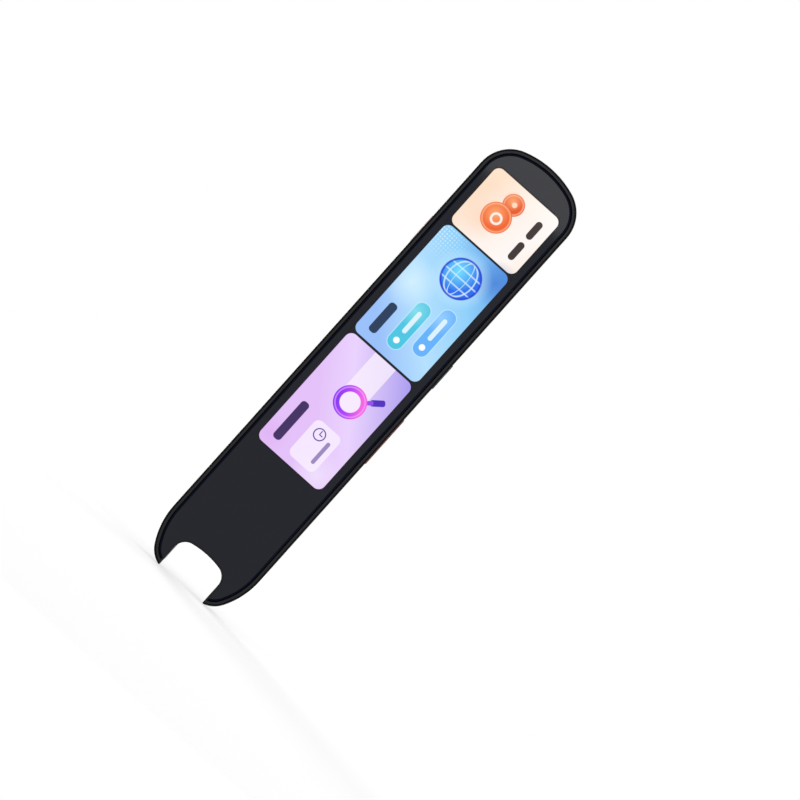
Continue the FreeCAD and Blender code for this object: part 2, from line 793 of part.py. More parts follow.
def make_screen():
    """The screen, its steel tray, its cushion and the ribbon that goes round to the mainboard."""
    half = dim.screen_width / 2
    high, low = screen_high, screen_low
    back = glass_under_y + dim.screen_thickness
    tray_back = back + dim.tray_thickness
    plate("display_panel", (-half, half), (glass_under_y, back), (low, high), dim.screen_corner)
    plate("display_tray", (-half, half), (back, tray_back), (low, high), dim.screen_corner)
    foam_half, margin = half - 1.5, as_size(4)
    plate(
        "display_foam", (-foam_half, foam_half), (tray_back, screen_floor_y),
        (low + margin, high - margin),
    )  # fmt: skip
    t = dim.ribbon_thickness
    front = glass_under_y + dim.screen_thickness - 0.4
    turn = mainboard_low - 1.8
    over = board_top_y + 0.7
    land = mainboard_low + 5
    body = new_body("display_flex")
    half = dim.screen_ribbon_width / 2
    pad(
        body, "YZ", -half, half, draw_polygon,
        [
            (front, low), (front, turn), (over + t, turn), (over + t, land),
            (over, land), (over, turn + t), (front + t, turn + t), (front + t, low),
        ],
    )  # fmt: skip
    return body


def make_loudspeaker():
    blank = doc.addObject("PartDesign::Body", "speaker_panel_blank")
    pad(
        blank, "XZ", grille_back_y, grille_y,
        draw_rectangle, -grille_half, grille_half, grille_low, grille_high, dim.grille_corner,
    )  # fmt: skip
    holes = doc.addObject("Part::Compound", "speaker_panel_holes")
    holes.Links = make_hole_field()
    nodes.append(cut("speaker_panel", blank, holes))
    mesh_half = grille_half - dim.grille_ledge - dim.part_gap
    mesh_reach = dim.grille_height / 2 - dim.grille_ledge - dim.part_gap
    mesh_y = grille_back_y - dim.mesh_thickness
    corner = dim.grille_corner - dim.grille_ledge - dim.part_gap
    span_z = (grille_middle - mesh_reach, grille_middle + mesh_reach)
    plate("speaker_mesh", (-mesh_half, mesh_half), (mesh_y, grille_back_y), span_z, corner)
    gasket = new_body("speaker_gasket")
    gasket_y = mesh_y - dim.gasket_thickness
    ring = dim.cone_radius + 0.9
    pad(gasket, "XZ", gasket_y, mesh_y, draw_circle, 0, speaker_middle, ring)
    pocket(gasket, "XZ", gasket_y, mesh_y, draw_circle, 0, speaker_middle, dim.cone_radius)
    make_speaker_box(gasket_y)


def make_hole_field():
    """Staggered round holes inside a circle, smaller towards its edge."""
    pitch = dim.hole_pitch
    row_pitch = pitch * root(as_size(0.75))
    rows = int(dim.hole_field_radius.number / row_pitch.number)
    reach = int(dim.hole_row_half.number / pitch.number) + 1
    holes = []
    for row in range(-rows, rows + 1):
        shift = 0.0 if row % 2 else 0.5
        for column in range(-reach, reach + 1):
            x = pitch * (column + shift)
            z = row_pitch * row
            distance = math.hypot(x.number, z.number)
            too_wide = abs(x.number) > dim.hole_row_half.number
            if too_wide or distance > dim.hole_field_radius.number:
                continue
            diameter = dim.hole_diameter
            if distance > dim.full_hole_radius.number:
                away = root(x * x + z * z) - dim.full_hole_radius
                diameter = diameter - away * dim.hole_shrink
            label = f"speaker_hole_{len(holes) + 1}"
            z = z + speaker_middle
            holes.append(rod_y(label, x, z, diameter / 2, grille_back_y - 0.1, grille_y + 0.1))
    return holes


def make_speaker_box(top):
    """The speaker's enclosure with its two feet, and the cone and magnet in it."""
    box = new_body("speaker_box")
    base = top - dim.speaker_depth
    half, reach = speaker_half, dim.speaker_length / 2
    low, high = speaker_middle - reach, speaker_middle + reach
    pad(box, "XZ", base, top, draw_rectangle, -half, half, low, high, 2.0)
    for side in (-1, 1):
        inner, outer = half - 0.5, half + 1.6
        left, right = (inner, outer) if side > 0 else (-outer, -inner)
        for foot_z in (low + 3.2, high - 3.2):
            pad(
                box, "XZ", plate_y, base + 1.2,
                draw_rectangle, left, right, foot_z - 1.2, foot_z + 1.2,
            )  # fmt: skip
    pocket(box, "XZ", base + 0.6, top, draw_circle, 0, speaker_middle, dim.cone_radius)
    magnet = new_body("speaker_magnet")
    magnet_top = base + 0.6 + 1.8
    pad(
        magnet, "XZ", base + 0.6, magnet_top,
        draw_circle, 0, speaker_middle, dim.magnet_radius,
    )  # fmt: skip
    cone = new_body("speaker_cone")
    cone_sketch = new_sketch(cone, "YZ", 0)
    middle, rim = speaker_middle, dim.cone_radius - 0.05
    draw_polygon(
        cone_sketch,
        [
            (top - 0.3, middle), (magnet_top + 0.3, middle + 3.6), (top - 0.5, middle + rim),
            (top - 0.65, middle + rim), (magnet_top + 0.1, middle + 3.6), (top - 0.5, middle),
        ],
    )  # fmt: skip
    axis = cone_sketch.addGeometry(
        Part.LineSegment(
            Vector(base.number, speaker_middle.number, 0),
            Vector(top.number, speaker_middle.number, 0),
        ),
        True,
    )
    fix_point(cone_sketch, axis, 1, base, middle)
    fix_point(cone_sketch, axis, 2, top, middle)
    turned = cone.newObject("PartDesign::Revolution", "speaker_cone_revolution")
    turned.Profile = cone_sketch
    turned.ReferenceAxis = (cone_sketch, ["Axis0"])
    turned.Angle = 360


def make_tip():
    """The dark nose in the U cut, the smoked window in its floor, and the camera behind it."""
    nose = new_body("tip_nose")
    nose_top = tip_z + dim.nose_height
    top_y = ceiling_y - dim.part_gap
    low_y = plate_y + dim.part_gap
    blank = pad(nose, "XZ", low_y, top_y, draw_outline, inner_inset)
    chamfer_edges(nose, blank, at_level("y", top_y), dim.inner_bevel)
    pocket(
        nose, "XZ", low_y - 1, top_y + 1,
        draw_rectangle, -half_width, half_width, nose_top, top_z + 2,
    )  # fmt: skip
    tip = outline_low(inner_inset, arch_half + dim.tip_round)
    pocket(nose, "XZ", low_y - 1, top_y + 1, draw_arch, 0, tip_z - 3, tip=tip)
    cut_sloping_floor(nose)
    wall_y = plate_y + 0.7
    far_y = wall_y + 4.6
    skin = dim.nose_skin / cosine(dim.floor_angle)
    hollow = [
        (wall_y, nose_top + 1),
        (far_y, nose_top + 1),
        (far_y, floor_level(far_y) + skin),
        (wall_y, floor_level(wall_y) + skin),
    ]
    hollow_half = dim.window_width / 2 - 0.6
    pocket(nose, "YZ", -hollow_half, hollow_half, draw_polygon, hollow)
    middle_y = (floor_y + top_y) / 2
    fit = dim.part_gap
    window_half, window_reach = dim.window_width / 2, dim.window_length / 2
    sink_window(
        nose, middle_y, dim.window_thickness,
        window_half + fit, window_reach + fit, dim.window_corner + fit,
    )  # fmt: skip
    sink_window(
        nose, middle_y, dim.window_thickness + 2.2,
        window_half - 1.2, window_reach - 2.0, dim.window_corner - 1.2,
    )  # fmt: skip
    window = new_body("scan_window")
    sketch = tilted_sketch(window, middle_y)
    draw_rectangle(
        sketch, -window_half, window_half, -window_reach, window_reach, dim.window_corner
    )
    pane = window.newObject("PartDesign::Pad", "scan_window_pad")
    pane.Profile = sketch
    bind(pane, "Length", dim.window_thickness)


def cut_sloping_floor(nose):
    """Cuts a rounded opening along the slope, from the arch's ledge up to the U cut."""
    near_y = floor_y - 1
    slope = pocket(
        nose, "XZ", near_y, back_y + 1,
        draw_rectangle, -arch_half, arch_half, tip_z - 20, floor_level(near_y), dim.floor_corner,
    )  # fmt: skip
    slope.UseCustomVector = True
    slope.AlongSketchNormal = True
    slope.Direction = Vector(0, 1, 1)
    bind(slope, "Direction.z", floor_slope)


def tilted_sketch(body, middle_y):
    """A sketch that lies in the tip's sloping floor."""
    sketch = body.newObject("Sketcher::SketchObject", f"{body.Name}_tilted")
    support = [part for part in body.Origin.OriginFeatures if part.Role == "XY_Plane"]
    sketch.AttachmentSupport = [(support[0], "")]
    sketch.MapMode = "FlatFace"
    sketch.AttachmentOffset = Placement(Vector(0, 0, 0), Rotation(Vector(1, 0, 0), 45))
    bind(sketch, "AttachmentOffset.Base.y", middle_y)
    bind(sketch, "AttachmentOffset.Base.z", floor_level(middle_y))
    bind(sketch, "AttachmentOffset.Rotation.Angle", dim.floor_angle)
    return sketch


def sink_window(nose, middle_y, depth, half, reach, corner):
    sketch = tilted_sketch(nose, middle_y)
    draw_rectangle(sketch, -half, half, -reach, reach, corner)
    recess = nose.newObject("PartDesign::Pocket", "tip_nose_recess")
    recess.Profile = sketch
    recess.Reversed = True
    bind(recess, "Length", depth)


def make_camera():
    bracket = new_body("camera_bracket")
    half, y = as_size(7.4), dim.camera_y
    low_y, high_y = plate_y + dim.part_gap, y + 3.4
    pad(
        bracket, "XY", bracket_low, bracket_high,
        draw_rectangle, -half, half, low_y, high_y,
    )  # fmt: skip
    ear_x = board_screw_x - 0.4 + 1.8
    pad(
        bracket, "XZ", board_y, board_top_y,
        draw_rectangle, -ear_x, ear_x, bracket_low + 2, bracket_high - 2,
    )  # fmt: skip
    for side in (-1, 1):
        pocket(
            bracket, "XZ", board_y, board_top_y,
            draw_circle, (board_screw_x - 0.4) * side, bracket_low + dim.bracket_length / 2,
            dim.screw_radius + dim.screw_gap,
        )  # fmt: skip
    pocket(
        bracket, "XY", bracket_low, bracket_high,
        draw_circle, 0, y, dim.barrel_radius + dim.part_gap,
    )  # fmt: skip
    base_half = as_size(3.6)
    pocket(
        bracket, "XY", bracket_high - 2.4, bracket_high,
        draw_rectangle, -(base_half + dim.part_gap), base_half + dim.part_gap,
        y - 2.8 - dim.part_gap, y + 2.8 + dim.part_gap,
    )  # fmt: skip
    pocket(
        bracket, "XY", bracket_low, bracket_low + 0.9,
        draw_rectangle, -(half - 0.5), half - 0.5, y - 2.6, y + 2.6,
    )  # fmt: skip
    camera = new_body("camera_module")
    pad(
        camera, "XY", bracket_high - 2.3, bracket_high - 0.1,
        draw_rectangle, -base_half, base_half, y - 2.8, y + 2.8,
    )  # fmt: skip
    barrel_low = bracket_low + 1.2
    pad(camera, "XY", barrel_low, bracket_high - 2.3, draw_circle, 0, y, dim.barrel_radius)
    pocket(camera, "XY", barrel_low, barrel_low + 0.7, draw_circle, 0, y, dim.barrel_radius - 0.6)
    lens = new_body("camera_lens")
    lens_pad = pad(
        lens, "XY", barrel_low - 0.1, barrel_low + 0.7,
        draw_circle, 0, y, dim.barrel_radius - 0.65,
    )  # fmt: skip
    chamfer_edges(lens, lens_pad, at_level("z", barrel_low - 0.1), 0.3)
    board = new_body("light_board")
    board_low, board_high = bracket_low + 0.3, bracket_low + 0.9
    pad(
        board, "XY", board_low, board_high,
        draw_rectangle, -(half - 0.6), half - 0.6, y - 2.5, y + 2.5,
    )  # fmt: skip
    pocket(board, "XY", board_low, board_high, draw_circle, 0, y, dim.barrel_radius - 0.4)
    lights = [
        block(f"scan_light_{number}", (x - 1.0, x + 1.0), (y - 1.4, y + 1.4), (board_low - 0.7, board_low))
        for number, x in enumerate((as_size(-5.2), as_size(5.2)), start=1)
    ]
    group("scan_lights", lights)
    flex = new_body("camera_flex")
    t = dim.ribbon_thickness
    land = mainboard_low + 7.6
    over = board_top_y + 1.3
    pad(
        flex, "YZ", -2.5, 2.5, draw_polygon,
        [
            (y, bracket_high - 0.1), (y, bracket_high + 0.9), (over, bracket_high + 0.9),
            (over, land), (over + t, land), (over + t, bracket_high + 0.9 + t),
            (y + t, bracket_high + 0.9 + t), (y + t, bracket_high - 0.1),
        ],
    )  # fmt: skip
    return bracket


def make_boards():
    half = mainboard_half
    hole = dim.screw_radius + dim.screw_gap
    plate(
        "mainboard", (-half, half), (board_y, board_top_y),
        (mainboard_low, mainboard_high), None,
        [(x, z, hole) for x, z in SCREWS[:4]],
    )  # fmt: skip
    chip_y = (board_top_y, board_top_y + dim.chip_thickness)
    chips = {
        "processor": ((-6.0, 3.0), (18.0, 9.0)),
        "memory": ((4.2, 9.0), (17.0, 10.5)),
        "power_chip": ((-6.5, -2.5), (7.4, 3.4)),
        "radio_chip": ((1.5, 5.5), (7.4, 3.4)),
    }
    members = []
    for name, (x, (low, high)) in chips.items():
        members.append(block(name, x, chip_y, (mainboard_high - low, mainboard_high - high)))
    group("board_chips", members)
    cans = {
        "computer_can": ((-7.4, 10.0), (19.4, 8.4)),
        "radio_can": ((-7.4, 7.0), (8.0, 2.6)),
    }
    can_top = board_top_y + dim.can_height
    wall = dim.can_wall
    shields = []
    for name, (x, (low, high)) in cans.items():
        z = (mainboard_high - low, mainboard_high - high)
        outer = block(f"{name}_outside", x, (board_top_y, can_top), z)
        inner = block(
            f"{name}_inside",
            (wall + x[0], as_size(x[1]) - wall),
            (board_top_y - 0.1, can_top - wall),
            (wall + z[0], as_size(z[1]) - wall),
        )
        shields.append(cut(name, outer, inner))
    group("shield_cans", shields)
    land = mainboard_low + 5
    sockets = {
        "screen_socket": ((-4.6, 4.6), (board_top_y, board_top_y + 0.7), (land - 3.0, land)),
        "camera_socket": ((-2.6, 2.6), (board_top_y, board_top_y + 1.3), (land + 0.4, land + 2.6)),
        "battery_socket": ((-2.0, 2.0), (board_top_y, board_top_y + 1.2), (lead_low - 1.8, lead_low)),
    }
    group("board_sockets", [block(name, x, y, z) for name, (x, y, z) in sockets.items()])
    half = dim.charge_board_width / 2
    plate(
        "charge_board", (-half, half), (board_y, board_top_y),
        (charge_board_low, charge_board_high), None,
        [(x, z, hole) for x, z in SCREWS[4:6]],
    )  # fmt: skip
    screws = []
    for number, (x, z) in enumerate(SCREWS, start=1):
        head = rod_y(
            f"head_{number}", x, z, dim.screw_head_radius,
            board_top_y, board_top_y + dim.screw_head_height,
        )  # fmt: skip
        shank_low = board_top_y - dim.screw_length
        shank = rod_y(f"shank_{number}", x, z, dim.screw_radius, shank_low, board_top_y)
        screws.append(fuse(f"board_screw_{number}", [head, shank]))
    group("board_screws", screws)


def make_battery():
    half = battery_half
    tape_y = (plate_y, plate_y + dim.tape_thickness)
    low, high = battery_low, battery_high
    plate("battery_tape", (-(half - 1.5), half - 1.5), tape_y, (low + 3, high - 3))
    cell_y = (tape_y[1], tape_y[1] + dim.battery_thickness)
    cell = new_body("battery")
    pad(
        cell, "XY", low, high,
        draw_rectangle, -half, half, cell_y[0], cell_y[1], dim.battery_round,
    )  # fmt: skip
    plate(
        "battery_foam", (-(half - 2.5), half - 2.5), (cell_y[1], ceiling_y - dim.part_gap),
        (low + 6, high - 6),
    )  # fmt: skip
    guard_y = (cell_y[0] + 1.6, cell_y[0] + 2.4)
    plate("battery_guard_board", (-7.0, 7.0), guard_y, (guard_low, low))
    leads = []
    for number, x in enumerate((-1.0, 1.0), start=1):
        lead = doc.addObject("Part::Cylinder", f"battery_lead_{number}")
        bind(lead, "Radius", 0.4)
        bind(lead, "Height", guard_low - lead_low)
        for axis, level in (("x", x), ("y", board_top_y + 0.6), ("z", lead_low)):
            bind(lead, f"Placement.Base.{axis}", level)
        leads.append(lead)
    group("battery_leads", leads)


def make_port():
    """The charging port, the microphones with their rubber boots, and the ribbon to the mainboard."""
    half, reach = dim.port_width / 2, dim.port_height / 2
    low = port_mouth_z - dim.port_depth
    shell = new_body("charge_port_shell")
    pad(
        shell, "XY", low, port_mouth_z,
        draw_rectangle, -half, half, port_y - reach, port_y + reach, reach - 0.01,
    )  # fmt: skip
    wall = dim.port_wall
    inner_half, inner_reach = half - wall, reach - wall
    floor = low + dim.port_floor
    pocket(
        shell, "XY", floor, port_mouth_z,
        draw_rectangle, -inner_half, inner_half, port_y - inner_reach, port_y + inner_reach,
        inner_reach - 0.01,
    )  # fmt: skip
    tongue = new_body("charge_port_tongue")
    tongue_pad = pad(
        tongue, "XY", floor, port_mouth_z - 0.8,
        draw_rectangle, -3.35, 3.35, port_y - 0.35, port_y + 0.35,
    )  # fmt: skip
    chamfer_edges(tongue, tongue_pad, at_level("z", port_mouth_z - 0.8), 0.2)
    capsules, boots = [], []
    half = dim.microphone_half
    low_z, high_z = charge_board_high - 3.6, charge_board_high - 0.1
    for number, side in enumerate((-1, 1), start=1):
        x = microphone_x * side
        capsules.append(
            block(
                f"microphone_{number}",
                (x - half, x + half), (board_top_y, board_top_y + 1.0), (low_z, high_z),
            )  # fmt: skip
        )
        boots.append(
            block(
                f"microphone_boot_{number}",
                (x - half, x + half), (board_top_y + 1.0, port_y + 0.9), (low_z, high_z + 1.6),
            )  # fmt: skip
        )
    group("microphones", capsules)
    group("microphone_boots", boots)
    link = new_body("link_flex")
    side_x = battery_half + 0.2
    tail_z, top_lane = mainboard_high - 1.0, battery_high + 0.4
    pad(
        link, "XZ", plate_y, plate_y + dim.ribbon_thickness, draw_polygon,
        [
            (side_x - 6.0, tail_z), (side_x - 3.2, tail_z),
            (side_x - 3.2, tail_z + 1.6), (side_x + 0.5, tail_z + 1.6),
            (side_x + 0.5, top_lane + 0.6), (side_x - 6.4, top_lane + 0.6),
            (side_x - 6.4, charge_board_low + 1.0), (side_x - 9.4, charge_board_low + 1.0),
            (side_x - 9.4, top_lane), (side_x, top_lane),
            (side_x, tail_z + 2.4), (side_x - 6.0, tail_z + 2.4),
        ],
    )  # fmt: skip
    plate(
        "antenna", (-9.0, 9.0), (ceiling_y - dim.ribbon_thickness, ceiling_y),
        (mainboard_low + 6.0, mainboard_high - 4.0),
    )  # fmt: skip
    contacts = []
    for number, side in enumerate((-1, 1), start=1):
        x = as_size(5.5 * side)
        contacts.append(
            block(
                f"speaker_contact_{number}",
                (x - 0.6, x + 0.6), (board_top_y, speaker_base_y - 0.02),
                (charge_board_low + 3.0, charge_board_low + 5.6),
            )  # fmt: skip
        )
    group("speaker_contacts", contacts)


speaker_base_y = grille_back_y - dim.mesh_thickness - dim.gasket_thickness - dim.speaker_depth


def make_key(label, side, length, middle):
    """A key: a cap curved like the shell's side, a lip inside the wall and a nub for the switch."""
    key = new_body(label)
    lip_outer = key_lip_x + dim.key_lip_thickness
    spans = [
        (key_lip_x, half_width + dim.key_proud, as_size(0), dim.key_height / 2 - 0.01),
        (key_lip_x, lip_outer, dim.key_lip, as_size(0.8)),
    ]
    for near, far, lip, corner in spans:
        low, high = (near, far) if side > 0 else (-far, -near)
        half = length / 2 + lip
        pad(
            key, "YZ", low, high,
            draw_rectangle, key_low_y - lip, key_high_y + lip, middle - half, middle + half, corner,
        )  # fmt: skip
    low, high = (key_nub_x, key_lip_x) if side > 0 else (-key_lip_x, -key_nub_x)
    pad(key, "YZ", low, high, draw_circle, dim.key_middle_y, middle, 0.8)
    half = length / 2 + 1
    pocket(key, "XY", middle - half, middle + half, draw_outside_shoulder, side)


def draw_outside_shoulder(sketch, side):
    """What lies outside the shell's rounded shoulder, a key's height proud of it."""
    centre_x, centre_y = half_width - dim.shoulder_radius, back_y - dim.shoulder_radius
    radius = dim.shoulder_radius + dim.key_proud
    far = half_width + 3
    cx, cy, r = centre_x.number * side, centre_y.number, radius.number
    start, end = (0, 90) if side > 0 else (90, 180)
    arc = add_arc(sketch, (cx, cy), r, start, end)
    low_end, high_end = (1, 2) if side > 0 else (2, 1)
    out = add_line(sketch, (cx, cy + r), (far.number * side, cy + r))
    back = add_line(sketch, (far.number * side, cy + r), (far.number * side, cy))
    home = add_line(sketch, (far.number * side, cy), (cx + r * side, cy))
    sketch.addConstraint(Sketcher.Constraint("Coincident", arc, high_end, out, 1))
    sketch.addConstraint(Sketcher.Constraint("Coincident", out, 2, back, 1))
    sketch.addConstraint(Sketcher.Constraint("Coincident", back, 2, home, 1))
    sketch.addConstraint(Sketcher.Constraint("Coincident", home, 2, arc, low_end))
    sketch.addConstraint(Sketcher.Constraint("Vertical", back))
    fix(sketch, "Radius", arc, size=radius)
    fix_point(sketch, arc, 3, centre_x * side, centre_y)
    fix_point(sketch, out, 1, x=centre_x * side)
    fix_point(sketch, out, 2, far * side, centre_y + radius)
    fix_point(sketch, home, 1, y=centre_y)
    fix_point(sketch, home, 2, y=centre_y)


def make_key_circuits():
    """The ribbons on the rails and the switches that the keys press."""
    t = dim.ribbon_thickness
    flexes = {
        "power_key_flex": (-1, KEYS["power_key"][2] - 4.0, KEYS["power_key"][2] + 4.0),
        "side_key_flex": (1, KEYS["talk_key"][2] - 6.0, KEYS["mode_key"][2] + 4.0),
    }
    for label, (side, low, high) in flexes.items():
        inner, outer = rail_x, rail_x + t
        x = (inner, outer) if side > 0 else (-outer, -inner)
        plate(label, x, (dim.key_middle_y - 1.4, dim.key_middle_y + 1.2), (low, high))
    switches = []
    for name, (side, length, middle) in KEYS.items():
        inner, outer = rail_x + t, switch_x
        x = (inner, outer) if side > 0 else (-outer, -inner)
        y = (dim.key_middle_y - 1.3, dim.key_middle_y + 1.1)
        switches.append(block(f"{name}_switch", x, y, (middle - 1.7, middle + 1.7)))
    group("key_switches", switches)


def check_and_write():
    doc.recompute()
    failed = [thing.Label for thing in doc.Objects if {"Invalid", "Error"} & set(thing.State)]
    failed += [node.Label for node in nodes if node.Shape.isNull() or not node.Shape.isValid()]
    if failed:
        raise RuntimeError(f"failed: {failed}")
    os.makedirs("parts", exist_ok=True)
    for node in nodes:
        node.Shape.exportStep(f"parts/{node.Label}.step")
        box = node.Shape.BoundBox
        print(f"{node.Label}: {len(node.Shape.Solids)} solids, {node.Shape.Volume:.1f} mm3,",
              f"x {box.XMin:.2f} {box.XMax:.2f} y {box.YMin:.2f} {box.YMax:.2f}",
              f"z {box.ZMin:.2f} {box.ZMax:.2f}")  # fmt: skip


make_rear_shell()
make_front_frame()
make_cover_glass()
make_glass_adhesive()
make_screen()
make_loudspeaker()
make_tip()
make_camera()
make_boards()
make_battery()
make_port()
for key_label, key_place in KEYS.items():
    make_key(key_label, *key_place)
make_key_circuits()
check_and_write()
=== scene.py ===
"""Dresses the handheld translator.

It gives every piece its finish, lights the screen, fits the port's contacts and sets the stage.
Shapes drawn on a surface are placed in millimetres on the pen, and meshes in metres.
"""

import math

import bmesh
import bpy
from mathutils import Matrix, Vector


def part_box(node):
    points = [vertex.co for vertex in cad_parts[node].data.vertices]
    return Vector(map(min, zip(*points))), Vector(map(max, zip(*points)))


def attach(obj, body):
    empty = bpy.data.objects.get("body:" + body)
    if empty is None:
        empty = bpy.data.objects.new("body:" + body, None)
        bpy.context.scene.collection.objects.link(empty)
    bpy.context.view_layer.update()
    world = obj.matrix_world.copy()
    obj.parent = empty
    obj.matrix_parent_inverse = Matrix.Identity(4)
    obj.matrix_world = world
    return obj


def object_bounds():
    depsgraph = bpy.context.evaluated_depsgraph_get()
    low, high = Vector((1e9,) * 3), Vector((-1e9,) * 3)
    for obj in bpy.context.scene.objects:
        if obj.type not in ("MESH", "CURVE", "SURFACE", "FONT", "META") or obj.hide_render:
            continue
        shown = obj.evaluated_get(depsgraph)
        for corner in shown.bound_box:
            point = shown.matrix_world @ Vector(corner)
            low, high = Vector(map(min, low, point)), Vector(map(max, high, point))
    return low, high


bl_info = {
    "name": "Scanning Translator Dresser",
    "version": (1, 0, 0),
    "blender": (4, 5, 0),
    "location": "View3D > Sidebar > Translator",
    "description": "Finishes, screen picture, small fittings and stage for a handheld translator",
    "category": "Object",
}

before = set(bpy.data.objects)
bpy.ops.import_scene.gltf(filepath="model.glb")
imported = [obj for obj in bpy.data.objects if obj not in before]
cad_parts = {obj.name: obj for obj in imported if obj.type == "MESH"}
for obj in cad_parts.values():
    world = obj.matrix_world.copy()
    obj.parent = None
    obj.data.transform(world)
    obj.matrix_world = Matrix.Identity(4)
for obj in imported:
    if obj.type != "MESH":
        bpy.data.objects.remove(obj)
CAD_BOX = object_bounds()

MM = 0.001

# The photograph: the pen's middle and length in pixels, and its lean in degrees.
IMAGE_SIZE = 800
PHOTO_CENTRE = (366.1, 376.4)
PHOTO_LENGTH = 557.0
PHOTO_TILT = 41.84

# The camera's sensor, in millimetres.
SENSOR_WIDTH = 36.0

# The reflection of the glass, as a specular level.
GLASS_GLOSS = 0.26
DOME_DULLING = 0.85

# The screen behind the glass, in millimetres. The cards' ends are levels along the pen.
FILM_DEPTH = 0.6
FILM_THICKNESS = 0.1
FILM_CORNER = 1.6
CARD_ENDS = ((70.6, 49.3), (48.7, 7.7), (7.0, -33.8))
WINDOW_MARGIN = 0.35
HALFTONE_PITCH = 0.95

# The cloth over the speaker, in millimetres.
CLOTH_PITCH = 0.34

# The back shell, in millimetres: its roll across the pen, and the painted highlight and painted
# shade lines round the speaker recess.
ROLL_DEPTH = 0.25
ROLL_START = 4.0
ROLL_TURN = 11.0
ROLL_END = 13.0
RECESS_CORNER = 7.0
CUT_OFFSET = 0.3
CUT_WIDTH = 0.66
SHADE_RING_OFFSET = 1.75
SHADE_RING_WIDTH = 0.2

# The Y part of a normal, which is -1 on a face that looks out of the screen side.
RIM_TOP = -0.99
RIM_SIDE = -0.15
GLASS_FLAT = -0.998

# The gold strips in the charging port, in millimetres, and their share of the tongue's length.
CONTACT_COUNT = 10
CONTACT_WIDTH = 0.26
CONTACT_THICKNESS = 0.03
CONTACT_BEVEL = 0.008
CONTACT_INSET = 0.35
CONTACT_SHARE = 0.62

# The floor: its size and its gap to the tip in metres, what it reflects and how much it glows.
FLOOR_RADIUS = 0.3
FLOOR_DROP = 0.0002
FLOOR_PAPER = 0.8
FLOOR_SEEN = 0.5
FLOOR_GLOW = 0.6

# Each soft box's place, target and size in metres, and its share of the lamp strength.
SOFT_BOXES = {
    "front_left_box": ((-0.62, -0.42, -0.05), (0, 0, -0.05), (0.1, 1.0), 0.14),
    "front_right_box": ((0.62, -0.42, -0.05), (0, 0, -0.05), (0.1, 1.0), 0.42),
    "back_left_box": ((0.64, 0.4, -0.05), (0, 0, -0.05), (0.12, 1.0), 0.5),
    "back_right_box": ((-0.38, 0.65, -0.05), (0, 0, -0.05), (0.22, 1.0), 0.86),
    "top_box": ((0, 0, 0.75), (0, 0, 0), (0.4, 0.4), 0.11),
    "crown_box": ((0, -1.3, 0.27), (0, 0, 0.27), (0.3, 0.24), 0.16),
}


def colour(red, green, blue, alpha=1.0):
    """A screen colour of 0 to 255 a channel, as Blender's linear colour."""
    channels = []
    for value in (red, green, blue):
        value /= 255
        channels.append(value / 12.92 if value <= 0.04045 else ((value + 0.055) / 1.055) ** 2.4)
    return (*channels, alpha)


# Settings that a user would change.


class TranslatorBodySettings(bpy.types.PropertyGroup):
    """Colours of the pen's outer pieces."""

    shell_colour: bpy.props.FloatVectorProperty(
        name="Shell colour",
        description="Metallic lacquer of the back shell",
        subtype="COLOR",
        size=4,
        default=colour(41, 61, 95),
    )
    shell_edge_colour: bpy.props.FloatVectorProperty(
        name="Shell edge colour",
        description="What the lacquer turns to at a grazing angle",
        subtype="COLOR",
        size=4,
        default=colour(70, 76, 104),
    )
    rim_colour: bpy.props.FloatVectorProperty(
        name="Rim colour",
        description="Moulded rim round the glass",
        subtype="COLOR",
        size=4,
        default=colour(6, 6, 8),
    )
    key_colour: bpy.props.FloatVectorProperty(
        name="Key colour",
        description="Red of the power and talk keys",
        subtype="COLOR",
        size=4,
        default=colour(196, 24, 31),
    )
    grille_colour: bpy.props.FloatVectorProperty(
        name="Grille colour",
        description="Coat of the perforated speaker panel",
        subtype="COLOR",
        size=4,
        default=colour(42, 40, 38),
    )
    nose_colour: bpy.props.FloatVectorProperty(
        name="Nose colour",
        description="Moulding round the scanning window",
        subtype="COLOR",
        size=4,
        default=colour(30, 33, 44),
    )


class TranslatorScreenSettings(bpy.types.PropertyGroup):
    """Light and layout of the screen."""

    brightness: bpy.props.FloatProperty(
        name="Brightness",
        description="Light of the screen, where 1 shows its colours as written",
        default=1.0,
        min=0.0,
        max=4.0,
    )
    card_half_width: bpy.props.FloatProperty(
        name="Card half width",
        description="Half of a card's width across the pen",
        subtype="DISTANCE",
        unit="LENGTH",
        precision=4,
        default=12.2 * MM,
        min=1.0 * MM,
        max=12.8 * MM,
    )
    card_corner: bpy.props.FloatProperty(
        name="Card corner",
        description="Radius of a card's corners",
        subtype="DISTANCE",
        unit="LENGTH",
        precision=4,
        default=2.2 * MM,
        min=0.0,
        max=6.0 * MM,
    )


class TranslatorStageSettings(bpy.types.PropertyGroup):
    """Camera, lamps and room."""

    lens: bpy.props.FloatProperty(
        name="Lens",
        description="Focal length of the camera",
        subtype="DISTANCE_CAMERA",
        default=160.0,
        min=20.0,
    )
    lamp_strength: bpy.props.FloatProperty(
        name="Lamp strength",
        description="Radiance that each soft box takes a share of, where 1 is the white room",
        default=11.0,
        min=0.0,
    )
    sky_strength: bpy.props.FloatProperty(
        name="Room light",
        description="Light of the room on matt surfaces",
        default=0.54,
        min=0.0,
    )


# Node trees: numbers that vary over a surface, with ordinary arithmetic.


class Field:
    """A number or a vector that varies over a surface."""

    def __init__(self, tree, socket):
        self.tree = tree
        self.socket = socket

    def __add__(self, other):
        return math_field(self.tree, "ADD", self, other)

    def __sub__(self, other):
        return math_field(self.tree, "SUBTRACT", self, other)

    def __mul__(self, other):
        return math_field(self.tree, "MULTIPLY", self, other)

    def __rsub__(self, other):
        return math_field(self.tree, "SUBTRACT", other, self)


